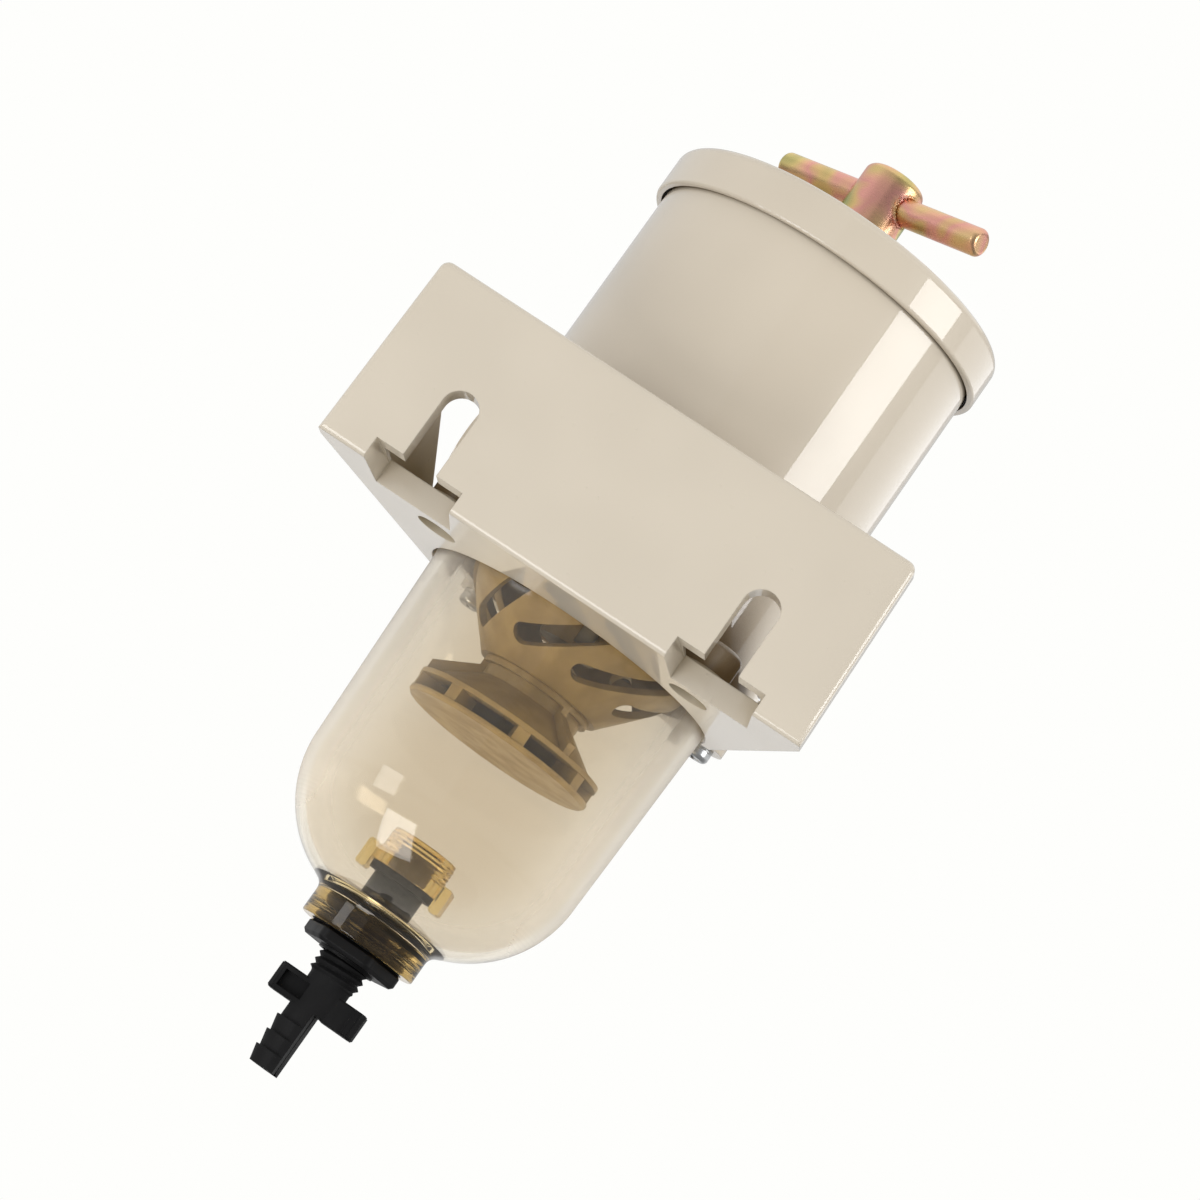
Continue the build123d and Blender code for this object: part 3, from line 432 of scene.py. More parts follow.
@dataclass(frozen=True)
class ClearPlastic(Finish):
    """Clear moulded plastic with an amber tint, deeper in the thick neck, and a near-white layer that is a
    faint haze face-on and a painted reflection of the bright surroundings towards the rim.
    """

    tint: Colour = (0.79, 0.722, 0.62, 1.0)
    edge_tint: Colour = (0.96, 0.94, 0.9, 1.0)
    edge_full: float = 0.55
    neck_tint: Colour = (0.48, 0.33, 0.12, 1.0)
    neck_top: float = -88.0
    neck_low: float = -91.0
    depth_tint: Colour = (0.9, 0.767, 0.333, 1.0)
    density: float = 18.0
    through: Colour = (0.86, 0.81, 0.73, 1.0)
    # painted reflection: the near-white colour of the rim layer, with its shares face-on, at the rim and
    # underneath
    haze_and_painted_reflection: Colour = srgb(248, 242, 234)
    haze_ahead: float = 0.02
    painted_reflection_edge: float = 0.55
    painted_reflection_start: float = 0.06
    painted_reflection_full: float = 0.85
    painted_reflection_below: float = 0.1
    painted_reflection_matte_share: float = 0.5
    facing_blend: float = 0.5
    below_full: float = -0.85
    below_start: float = -0.3
    ripple: float = 16.0
    ripple_stretch: float = 0.35
    ripple_depth: float = 0.03
    smear: float = 25.0
    smear_share: tuple[float, float] = (0.4, 0.7)
    smear_roughness: tuple[float, float] = (0.015, 0.04)
    refraction: float = 1.49

    def build(self) -> bpy.types.Material:
        """Makes the plastic: smooth and refracting, tinted by its depth, with faint flow ripples and a
        layer of painted reflection towards the rim.
        """
        graph = Graph(self.name)
        place = graph.place()
        facing = graph.node("ShaderNodeLayerWeight", {}, {"Blend": self.facing_blend}, "Facing")
        base = Layout.read().base
        neck = (base + self.neck_low * MM, base + self.neck_top * MM)
        in_neck = graph.between(graph.axis_of(place, "Z"), *neck, 1.0, 0.0)
        clear = self._body(graph, place, facing, in_neck)
        # painted reflection: a near-white translucent and matte layer that brightens the rim like a
        # reflection of the surroundings, over a faint real haze face-on
        painted_reflection_translucent = graph.node("ShaderNodeBsdfTranslucent", {}, {"Color": self.haze_and_painted_reflection})
        painted_reflection_matte = graph.node("ShaderNodeBsdfDiffuse", {}, {"Color": self.haze_and_painted_reflection})
        painted_reflection_layer = graph.node("ShaderNodeMixShader", {}, {0: self.painted_reflection_matte_share, 1: painted_reflection_translucent, 2: painted_reflection_matte})
        share = self._painted_reflection_share(graph, facing) * (1 - in_neck)
        with_painted_reflection = graph.node("ShaderNodeMixShader", {}, {0: share, 1: clear, 2: painted_reflection_layer})
        shadow = graph.node("ShaderNodeBsdfTransparent", {}, {"Color": self.through})
        is_shadow = graph.node("ShaderNodeLightPath", {}, {}, "Is Shadow Ray")
        thick = {"Color": self.depth_tint, "Density": self.density}
        graph.feed(graph.output.inputs["Volume"], graph.node("ShaderNodeVolumeAbsorption", {}, thick))
        return graph.finish(graph.node("ShaderNodeMixShader", {}, {0: is_shadow, 1: with_painted_reflection, 2: shadow}))

    def _body(self, graph: Graph, place: Wire, facing: Wire, in_neck: Wire) -> Wire:
        """Adds the clear body under the haze and painted reflection.

        Args:
            graph: The material's nodes.
            place: The point on the surface.
            facing: 0 where the surface faces the view and 1 where it turns away.
            in_neck: 1 in the neck.

        Returns:
            The shader.
        """
        stretched = graph.stretched(place, (1.0, 1.0, self.ripple_stretch))
        ripple = graph.noise(stretched, self.ripple, detail=2.0)
        smear = graph.noise(place, self.smear, detail=2.0)
        tint = graph.blend(graph.between(facing, 0.0, self.edge_full), self.tint, self.edge_tint)
        return graph.surface(
            {
                "Base Color": graph.blend(in_neck, tint, self.neck_tint),
                "Roughness": graph.between(smear, *self.smear_share, *self.smear_roughness),
                "IOR": self.refraction,
                "Transmission Weight": 1.0,
                "Normal": graph.bump(ripple, self.ripple_depth),
            }
        )

    def _painted_reflection_share(self, graph: Graph, facing: Wire) -> Wire:
        """Gives the share of the haze and painted reflection: outside only, more where the wall turns away,
        as a reflection of the bright surroundings would be, and less underneath, where the painted
        reflection stands for the darker surroundings below.

        Args:
            graph: The material's nodes.
            facing: 0 where the surface faces the view and 1 where it turns away.

        Returns:
            The share.
        """
        inside = graph.node("ShaderNodeNewGeometry", {}, {}, "Backfacing")
        outward = graph.node("ShaderNodeNewGeometry", {}, {}, "True Normal")
        upward = graph.axis_of(outward, "Z")
        beside = graph.between(upward, self.below_full, self.below_start, self.painted_reflection_below, 1.0)
        share = graph.between(facing, self.painted_reflection_start, self.painted_reflection_full, self.haze_ahead, self.painted_reflection_edge)
        return share * beside * (1 - inside)


@dataclass(frozen=True)
class MouldedPlastic(Finish):
    """Opaque moulded plastic with faint flow marks."""

    colour: Colour = srgb(16, 16, 18)
    shade: Colour = srgb(11, 11, 13)
    roughness: float = 0.36
    dulling: float = 0.12
    flow: float = 7.0
    flow_stretch: float = 0.4
    flow_share: tuple[float, float] = (0.35, 0.65)
    grain: float = 0.5
    grain_depth: float = 0.008
    edge: float = 0.3
    gloss: float = 0.5

    def build(self) -> bpy.types.Material:
        """Makes the plastic: two close tones, a fine grain and softened edges."""
        graph = Graph(self.name)
        place = graph.place()
        flow = graph.noise(graph.stretched(place, (1.0, 1.0, self.flow_stretch)), self.flow)
        shaded = graph.between(flow, *self.flow_share)
        grain = graph.noise(place, self.grain)
        return graph.finish(
            graph.surface(
                {
                    "Base Color": graph.blend(shaded, self.colour, self.shade),
                    "Roughness": graph.spread(flow, self.roughness, self.roughness + self.dulling),
                    "Specular IOR Level": self.gloss,
                    "Normal": graph.bump(grain, self.grain_depth, graph.rounded_edges(self.edge)),
                }
            )
        )


@dataclass(frozen=True)
class PlatedSteel(Finish):
    """Zinc plated steel, bright or yellow with a rainbow sheen."""

    stops: Stops = (
        (0.3, srgb(196, 198, 200)),
        (0.7, srgb(226, 227, 226)),
    )
    patch: float = 6.0
    detail: float = 4.0
    roughness: float = 0.26
    dulling: float = 0.14
    turning: float = 2.1
    turning_stretch: float = 12.0
    turning_depth: float = 0.012
    edge: float = 0.35

    def build(self) -> bpy.types.Material:
        """Makes the plating: drifting tints, turning marks and softened edges."""
        graph = Graph(self.name)
        place = graph.place()
        drift = graph.noise(place, self.patch, self.detail, roughness=0.6)
        marks = graph.noise(graph.stretched(place, (1.0, 1.0, self.turning_stretch)), self.turning)
        return graph.finish(
            graph.surface(
                {
                    "Base Color": graph.ramp(drift, self.stops),
                    "Metallic": 1.0,
                    "Roughness": graph.spread(marks, self.roughness, self.roughness + self.dulling),
                    "Normal": graph.bump(marks, self.turning_depth, graph.rounded_edges(self.edge)),
                }
            )
        )


@dataclass(frozen=True)
class FilterPaper(Finish):
    """Pleated paper of the filter element."""

    colour: Colour = srgb(203, 184, 148)
    shade: Colour = srgb(176, 154, 116)
    fibre: float = 0.6
    fibre_depth: float = 0.05
    roughness: float = 0.9

    def build(self) -> bpy.types.Material:
        """Makes the paper: matted fibres in two tones."""
        graph = Graph(self.name)
        fibres = graph.noise(graph.place(), self.fibre, detail=5.0, roughness=0.7)
        return graph.finish(
            graph.surface(
                {
                    "Base Color": graph.blend(graph.spread(fibres), self.colour, self.shade),
                    "Roughness": self.roughness,
                    "Normal": graph.bump(fibres, self.fibre_depth),
                }
            )
        )


class Look(Enum):
    """The finishes of the object."""

    CASTING = GlossPaint("cream_casting", "paint", srgb(218, 208, 191), srgb(214, 204, 187))
    CAN = GlossPaint(
        "cream_can",
        "paint",
        # painted shade: the can darkens to deep brown where the plate and gussets shelter it, up to 60 mm
        # away
        painted_shade=srgb(120, 98, 66),
        painted_shade_reach=60.0,
        painted_shade_edge=0.72,
        waviness=40.0,
        waviness_depth=0.02,
        peel_depth=0.001,
        edge=0.25,
        scuffed=False,
    )
    BOWL = ClearPlastic("clear_bowl_plastic", "clear_plastic")
    AMBER = MouldedPlastic(
        "amber_plastic", "amber_plastic", srgb(164, 143, 94), srgb(148, 127, 82), roughness=0.38, edge=0.4
    )
    NUT = ClearPlastic(
        "amber_nut_plastic",
        "amber_plastic",
        tint=(0.93, 0.79, 0.4, 1.0),
        edge_tint=(0.84, 0.64, 0.26, 1.0),
        neck_tint=(0.93, 0.79, 0.4, 1.0),
        # the nut's amber layer is a haze with a painted reflection towards its rim
        haze_and_painted_reflection=srgb(206, 168, 92),
        haze_ahead=0.1,
        painted_reflection_edge=0.3,
        painted_reflection_below=1.0,
    )
    BLACK = MouldedPlastic("black_plastic", "black_plastic", srgb(12, 12, 13), srgb(8, 8, 9), gloss=0.26)
    DULL_BLACK = MouldedPlastic(
        "dull_black_plastic", "black_plastic", srgb(22, 22, 23), srgb(17, 17, 18), roughness=0.62, gloss=0.2
    )
    WHITE = MouldedPlastic(
        "white_plastic", "white_plastic", srgb(228, 228, 224), srgb(216, 216, 212), roughness=0.25
    )
    GREEN = MouldedPlastic(
        "green_plastic", "green_plastic", srgb(58, 112, 74), srgb(48, 98, 62), roughness=0.4
    )
    RUBBER = MouldedPlastic(
        "black_rubber", "black_rubber", srgb(16, 16, 16), srgb(11, 11, 11), roughness=0.5, gloss=0.2
    )
    BRIGHT = PlatedSteel("bright_zinc", "bright_zinc")
    YELLOW = PlatedSteel(
        "yellow_zinc",
        "yellow_zinc",
        (
            (0.22, srgb(170, 172, 112)),
            (0.34, srgb(222, 198, 134)),
            (0.46, srgb(234, 182, 150)),
            (0.55, srgb(228, 164, 152)),
            (0.63, srgb(220, 188, 130)),
            (0.80, srgb(160, 168, 108)),
        ),
        patch=13.0,
        detail=1.0,
        roughness=0.24,
    )
    TUBE = PlatedSteel("turned_aluminium", "aluminium")
    PAPER = FilterPaper("filter_paper", "filter_paper")


MATERIALS: dict[Look, bpy.types.Material] = {}


def dress(piece: bpy.types.Object, look: Look) -> bpy.types.Object:
    """Gives a piece its finish.

    Args:
        piece: The object to dress.
        look: The finish.

    Returns:
        The same object.
    """
    if look not in MATERIALS:
        MATERIALS[look] = look.value.build()
    piece.data.materials.clear()
    piece.data.materials.append(MATERIALS[look])
    return piece


def show_node(node: str, look: Look) -> None:
    """Dresses a construction node that keeps its own mesh."""
    piece = dress(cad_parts[node], look)
    log.info("dressed %s as %s", node, look.value.name)


def stand_for(piece: bpy.types.Object, look: Look, body: str, *nodes: str) -> None:
    """Dresses a modelled piece, lets it ride on a body and stand for construction nodes.

    Args:
        piece: The modelled piece.
        look: Its finish.
        body: The body it moves with.
        nodes: The nodes that it stands for, if any.
    """
    dress(piece, look)
    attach(piece, body)
    if nodes:
        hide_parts(*nodes)
    log.info("made %s on %s", piece.name, body)


class Outline:
    """A closed outline in radius and height, with rounded corners and arcs."""

    def __init__(self) -> None:
        """Starts an empty outline."""
        self.corners: list[tuple[float, float, float]] = []

    def to(self, radius: float, height: float, rounding: float = 0.0) -> "Outline":
        """Adds a corner, rounded by a radius.

        Args:
            radius: Distance from the axis.
            height: Height of the corner.
            rounding: Radius of the rounding.

        Returns:
            The outline itself.
        """
        self.corners.append((radius, height, rounding))
        return self

    def arc(self, centre: Point, radius: float, start: float, end: float, steps: int = 32) -> "Outline":
        """Adds an arc.

        Args:
            centre: Radius and height of the arc's centre.
            radius: Radius of the arc.
            start: First angle in degrees, from the outward direction, turning up.
            end: Last angle.
            steps: Number of stretches.

        Returns:
            The outline itself.
        """
        for step in range(steps + 1):
            turn = math.radians(start + (end - start) * step / steps)
            self.to(centre[0] + radius * math.cos(turn), centre[1] + radius * math.sin(turn))
        return self

    def points(self, steps: int = 7) -> list[Point]:
        """Gives the outline's points, with each rounded corner as an arc.

        Args:
            steps: Stretches in each rounded corner.

        Returns:
            The points in order.
        """
        made: list[Point] = []
        count = len(self.corners)
        for number, (radius, height, rounding) in enumerate(self.corners):
            corner = Vector((radius, height))
            if rounding <= 0:
                made.append((radius, height))
                continue
            before = Vector(self.corners[number - 1][:2]) - corner
            after = Vector(self.corners[(number + 1) % count][:2]) - corner
            half = before.angle(after) / 2
            room = min(before.length, after.length) * ROUNDING_SHARE
            reach = min(rounding / math.tan(half), room)
            start = corner + before.normalized() * reach
            end = corner + after.normalized() * reach
            for step in range(steps + 1):
                share = step / steps
                bend = start * (1 - share) ** 2 + corner * (2 * share * (1 - share)) + end * share**2
                made.append((bend.x, bend.y))
        return made


def ridge(turns: float) -> float:
    """Gives the height of a sharp thread after a number of turns, from 0 in its groove to 1."""
    return 1 - abs(2 * (turns % 1) - 1)


def plain_round(radius: float, angle: float, height: float) -> Point:
    """Gives the place off the axis on a plain round.

    Args:
        radius: Distance from the axis.
        angle: Angle about the axis in degrees.
        height: Height, which changes nothing here.

    Returns:
        The place off the axis.
    """
    turn = math.radians(angle)
    return (radius * math.cos(turn), radius * math.sin(turn))


def join_rings(shape: bmesh.types.BMesh, rings: Sequence[Ring], closed: bool = True) -> None:
    """Fills the bands between rings of corners. A ring of one corner is a tip.

    Args:
        shape: The mesh under construction.
        rings: The rings in order.
        closed: Whether the last ring joins the first one.
    """
    pairs = list(zip(rings, rings[1:]))
    if closed:
        pairs.append((rings[-1], rings[0]))
    for ring, following in pairs:
        count = max(len(ring), len(following))
        if count == 1:
            continue
        for n in range(count):
            corners = [ring[n % len(ring)], ring[(n + 1) % len(ring)]]
            corners += [following[(n + 1) % len(following)], following[n % len(following)]]
            shape.faces.new(list(dict.fromkeys(corners)))


@dataclass(frozen=True)
class Layout:
    """Where the can's axis stands and where heights start, read from the construction model."""

    axis: Vector
    base: float

    @classmethod
    def read(cls) -> "Layout":
        """Reads the axis from the bowl and the base from the bracket."""
        low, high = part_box("clear_bowl")
        return cls((low + high) / 2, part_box("mounting_bracket")[0].z)

    def spot(self, x: float, y: float, height: float) -> Vector:
        """Gives a place in metres from millimetres off the axis and a height in millimetres."""
        return Vector((self.axis.x + x * MM, self.axis.y + y * MM, self.base + height * MM))

    def lathe(
        self, name: str, outline: Outline, steps: int, mould: Mould = plain_round
    ) -> bpy.types.Object:
        """Turns a closed outline around the can's axis.

        Args:
            name: The piece's name.
            outline: The closed outline.
            steps: Number of steps around.
            mould: Gives the place off the axis for a radius, an angle in degrees and a height.

        Returns:
            The new object.
        """
        shape = bmesh.new()
        rings = []
        for radius, height in outline.points():
            angles = [360 * n / steps for n in range(steps)] if radius > 0 else [0.0]
            spots = [self.spot(*mould(radius, angle, height), height) for angle in angles]
            rings.append([shape.verts.new(spot) for spot in spots])
        join_rings(shape, rings)
        return self.made(name, shape)

    def block(
        self, name: str, plan: Sequence[Point], low: float, high: float, bevel: float
    ) -> bpy.types.Object:
        """Makes an upright block from its plan.

        Args:
            name: The piece's name.
            plan: Corners off the can's axis, in order.
            low: Height of its underside.
            high: Height of its top.
            bevel: Size of the bevel on its edges.

        Returns:
            The new object.
        """
        shape = bmesh.new()
        floor = [shape.verts.new(self.spot(x, y, low)) for x, y in plan]
        roof = [shape.verts.new(self.spot(x, y, high)) for x, y in plan]
        shape.faces.new(floor)
        shape.faces.new(roof)
        for n in range(len(plan)):
            m = (n + 1) % len(plan)
            shape.faces.new((floor[n], floor[m], roof[m], roof[n]))
        if bevel > 0:
            bmesh.ops.bevel(shape, geom=list(shape.edges), offset=bevel * MM, segments=2, affect="EDGES")
        return self.made(name, shape)

    @staticmethod
    def combined(
        piece: bpy.types.Object, tool: bpy.types.Object, operation: str = "UNION"
    ) -> bpy.types.Object:
        """Joins a piece with another one or cuts it, and uses the other one up.

        Args:
            piece: The piece that stays.
            tool: The piece that is joined or cut away.
            operation: UNION or DIFFERENCE.

        Returns:
            The piece that stays.
        """
        change = piece.modifiers.new("combine", "BOOLEAN")
        change.operation = operation
        change.solver = "EXACT"
        change.object = tool
        view = bpy.context.evaluated_depsgraph_get()
        mesh = bpy.data.meshes.new_from_object(piece.evaluated_get(view))
        piece.modifiers.clear()
        piece.data = mesh
        bpy.data.objects.remove(tool)
        mesh.shade_smooth()
        mesh.set_sharp_from_angle(angle=SHARP)
        return piece

    @staticmethod
    def made(name: str, shape: bmesh.types.BMesh) -> bpy.types.Object:
        """Turns a shape into an object with smooth faces and outward normals.

        Args:
            name: The piece's name.
            shape: The mesh under construction, which is used up.

        Returns:
            The new object.
        """
        bmesh.ops.recalc_face_normals(shape, faces=shape.faces)
        mesh = bpy.data.meshes.new(name)
        shape.to_mesh(mesh)
        shape.free()
        mesh.shade_smooth()
        mesh.set_sharp_from_angle(angle=SHARP)
        piece = bpy.data.objects.new(name, mesh)
        bpy.context.scene.collection.objects.link(piece)
        return piece


@dataclass
class ClearBowl:
    """The sediment bowl: flange, drafted wall, dome and threaded neck."""

    layout: Layout
    wall: float = 2.7
    top_radius: float = 43.9
    low_radius: float = 41.6
    dome_height: float = -56.5
    dome_radius: float = 34.0
    flange_radius: float = 49.0
    flange_low: float = 8.0
    flange_top: float = 12.0
    neck_radius: float = 17.5
    neck_bottom: float = -98.0
    neck_bore: float = 14.2
    neck_ceiling: float = -88.5
    floor_top: float = -85.7
    floor_bore: float = 7.75
    flare: float = 4.5
    flare_angle: float = 7.0
    flare_drop: float = 0.4
    edge: float = 0.4
    flange_root: float = 0.6
    neck_edge: float = 0.7
    bore_edge: float = 0.3
    ceiling_edge: float = 0.2
    groove_depth: float = 0.35
    groove_width: float = 1.1
    grooves: tuple[float, ...] = (-96.0, -94.8, -90.0)
    steps: int = 256

    def build(self) -> None:
        """Models the bowl smoothly and lets it stand for its node."""
        centre = (self.low_radius - self.dome_radius, self.dome_height)
        inner = self.dome_radius - self.wall
        neck_angle = math.degrees(math.acos((self.neck_radius - centre[0]) / self.dome_radius))
        floor_angle = math.degrees(math.asin((self.dome_height - self.floor_top) / inner))
        neck_top = self.dome_height - self.dome_radius * math.sin(math.radians(neck_angle))
        outline = Outline().arc(centre, inner, -floor_angle, 0.0)
        outline.to(self.top_radius - self.wall, self.flange_top, self.edge)
        outline.to(self.flange_radius, self.flange_top, self.edge)
        outline.to(self.flange_radius, self.flange_low, self.edge)
        outline.to(self.top_radius, self.flange_low, self.flange_root)
        outline.arc(centre, self.dome_radius, 0.0, -neck_angle + self.flare_angle)
        outline.to(self.neck_radius, neck_top - self.flare_drop, self.flare)
        outline.to(self.neck_radius, self.neck_bottom, self.neck_edge)
        outline.to(self.neck_bore, self.neck_bottom, self.bore_edge)
        for low in self.grooves:
            outline.to(self.neck_bore, low)
            outline.to(self.neck_bore + self.groove_depth, low + self.groove_width / 2, self.bore_edge)
            outline.to(self.neck_bore, low + self.groove_width)
        outline.to(self.neck_bore, self.neck_ceiling, self.ceiling_edge)
        outline.to(self.floor_bore, self.neck_ceiling).to(self.floor_bore, self.floor_top, self.bore_edge)
        bowl = self.layout.lathe("sediment_bowl", outline, self.steps)
        stand_for(bowl, Look.BOWL, "housing", "clear_bowl")


@dataclass
class SeatNut:
    """The clear amber nut inside the bowl: ribbed collar, round base and two lugs."""

    layout: Layout
    bore: float = 5.95
    base_radius: float = 10.6
    collar_radius: float = 10.0
    low: float = -76.4
    base_top: float = -72.0
    top: float = -66.0
    bore_edge: float = 0.3
    edge: float = 0.4
    rib_pitch: float = 1.2
    rib_depth: float = 0.35
    rib_edge: float = 0.15
    groove_edge: float = 0.1
    lug_radius: float = 13.2
    lug_wall: float = 3.0
    lug_width: float = 9.0
    lug_low: float = -79.8
    steps: int = 128

    def build(self) -> None:
        """Models the nut and lets it stand for its node."""
        nut = self.layout.lathe("seat_nut", self._outline(), self.steps)
        half = self.lug_width / 2
        for side in (1, -1):
            near = side * (self.lug_radius - self.lug_wall)
            far = side * self.lug_radius
            plan = [(near, -half), (far, -half), (far, half), (near, half)]
            lug = self.layout.block("lug", plan, self.lug_low, self.base_top, self.edge)
            nut = self.layout.combined(nut, lug)
        stand_for(nut, Look.NUT, "housing", "drain_seat_nut")

    def _outline(self) -> Outline:
        """Gives the outline of the base and the ribbed collar."""
        groove = self.collar_radius - self.rib_depth
        outline = Outline().to(self.bore, self.low, self.bore_edge)
        outline.to(self.base_radius, self.low, self.edge)
        outline.to(self.base_radius, self.base_top, self.edge).to(groove, self.base_top)
        rib = self.base_top
        while rib + self.rib_pitch < self.top:
            outline.to(groove, rib + self.groove_edge, self.groove_edge)
            outline.to(self.collar_radius, rib + self.rib_pitch / 2, self.rib_edge)
            rib += self.rib_pitch
        outline.to(groove, rib, self.groove_edge).to(groove, self.top, self.edge)
        return outline.to(self.bore, self.top, self.bore_edge)


@dataclass
class DrainValve:
    """The black drain valve: threaded plug with a stem, a wing grip and a flat-sided hose barb."""

    layout: Layout
    stem_radius: float = 4.1
    stem_top: float = -70.6
    stem_edge: float = 0.4
    seal_top: float = -72.2
    seal_low: float = -73.8
    seal_radius: float = 2.9
    thread_top: float = -96.0
    thread_low: float = -109.6
    thread_root: float = 6.3
    thread_crest: float = 7.38
    thread_pitch: float = 2.1
    thread_steps: int = 14
    thread_edge: float = 0.2
    thread_relief: float = 0.3
    thread_runout: float = 1.05
    neck_radius: float = 6.2
    neck_foot: float = 0.5
    wing_top: float = -111.7
    wing_low: float = -119.5
    wing_reach: float = 13.4
    wing_half: float = 4.0
    wing_inner: float = 3.2
    wing_bevel: float = 0.35
    wing_corner: tuple[float, float] = (1.5, 1.6)
    wing_back_corner: float = 1.4
    thumb_hollow: tuple[float, float] = (3.2, 5.4)
    thumb_depth: float = 1.0
    pocket: tuple[float, float, float, float] = (3.4, 11.1, -118.1, -113.2)
    pocket_depth: float = 2.4
    barb_radius: float = 6.0
    barb_crest: float = 7.0
    barb_tip: float = -137.9
    barb_edge: float = 0.6
    barb_first: float = 4.4
    barb_pitch: float = 4.7
    barb_count: int = 3
    tooth_edge: float = 0.15
    tooth_back: float = 0.02
    tooth_land: float = 0.1
    tip_land: float = 0.3
    barb_flat: float = 1.95
    flat_end: float = 0.4
    flat_step: float = 0.1
    bore_radius: float = 2.4
    bore_edge: float = 0.4
    bore_top: float = -88.0
    steps: int = 144

    def build(self) -> None:
        """Models the valve and lets it stand for its node."""
        barrel = self.layout.lathe("drain_valve_body", self._outline(), self.steps, self._mould)
        for side in (1, -1):
            plan = self._wing_plan(side)
            wing = self.layout.block("wing", plan, self.wing_low, self.wing_top, self.wing_bevel)
            barrel = self.layout.combined(barrel, wing)
        inner, outer, low, high = self.pocket
        face = self.wing_half - self.pocket_depth
        plan = [(inner, face), (outer, face), (outer, self.wing_reach), (inner, self.wing_reach)]
        pocket = self.layout.block("pocket", plan, low, high, 0.0)
        barrel = self.layout.combined(barrel, pocket, "DIFFERENCE")
        stand_for(barrel, Look.DULL_BLACK, "drain_valve", "drain_valve")

    def _outline(self) -> Outline:
        """Gives the outline of everything that is turned, from the bore to the stem's top."""
        outline = Outline().to(0.0, self.bore_top).to(self.bore_radius, self.bore_top)
        outline.to(self.bore_radius, self.barb_tip, self.bore_edge)
        outline.to(self.barb_radius, self.barb_tip, self.barb_edge)
        for number in reversed(range(self.barb_count)):
            tooth = self.wing_low - self.barb_first - number * self.barb_pitch
            land = tooth - self.barb_pitch + self.tooth_land
            outline.to(self.barb_radius, max(land, self.barb_tip + self.tip_land))
            outline.to(self.barb_crest, tooth, self.tooth_edge)
            outline.to(self.barb_radius, tooth + self.tooth_back)
        for step in (-self.flat_step, self.flat_step):
            outline.to(self.barb_radius, self.wing_low + self.flat_end + step)
        outline.to(self.neck_radius, self.wing_top - self.neck_foot)
        outline.to(self.neck_radius, self.thread_low - self.thread_relief)
        length = self.thread_top - self.thread_low
        rows = round(length / self.thread_pitch * self.thread_steps)
        for row in range(rows + 1):
            outline.to(self.thread_crest, self.thread_low + length * (row / rows))
        outline.to(self.stem_radius, self.thread_top, self.thread_edge)
        outline.to(self.stem_radius, self.seal_low).to(self.seal_radius, self.seal_low)
        outline.to(self.seal_radius, self.seal_top).to(self.stem_radius, self.seal_top)
        return outline.to(self.stem_radius, self.stem_top, self.stem_edge).to(0.0, self.stem_top)

    def _mould(self, radius: float, angle: float, height: float) -> Point:
        """Winds the thread's ridge round the plug and cuts the flat along the barb.

        Args:
            radius: Radius of the outline.
            angle: Angle about the axis in degrees.
            height: Height of the outline.

        Returns:
            The place off the axis.
        """
        if self.thread_low <= height <= self.thread_top and radius > self.thread_root:
            above = height - self.thread_low
            depth = self.thread_crest - self.thread_root
            runout = min(1.0, above / self.thread_runout)
            radius = self.thread_root + depth * ridge(above / self.thread_pitch - angle / 360) * runout
        across, ahead = plain_round(radius, angle, height)
        if height < self.wing_low + self.flat_end:
            if radius > self.barb_radius and across < 0:
                fade = min(1.0, max(0.0, (across + self.barb_flat) / self.barb_flat))
                radius = self.barb_radius + (radius - self.barb_radius) * fade
                across, ahead = plain_round(radius, angle, height)
            across = max(across, -self.barb_flat)
        return (across, ahead)

    def _wing_plan(self, side: int) -> list[Point]:
        """Gives a wing's plan, with its thumb hollow on one face and its end bevelled.

        Args:
            side: 1 for the wing towards +X and -1 for the one towards -X.

        Returns:
            The plan's corners.
        """
        half, reach = self.wing_half, self.wing_reach
        along, across = self.wing_corner
        outer, inner = self.thumb_hollow
        plan = [
            (self.wing_inner, half),
            (reach - along, half),
            (reach, half - across),
            (reach, across - half),
            (reach - self.wing_back_corner, -half),
            (reach - outer, self.thumb_depth - half),
            (reach - inner, -half),
            (self.wing_inner, -half),
        ]
        return [(side * x, side * y) for x, y in plan]


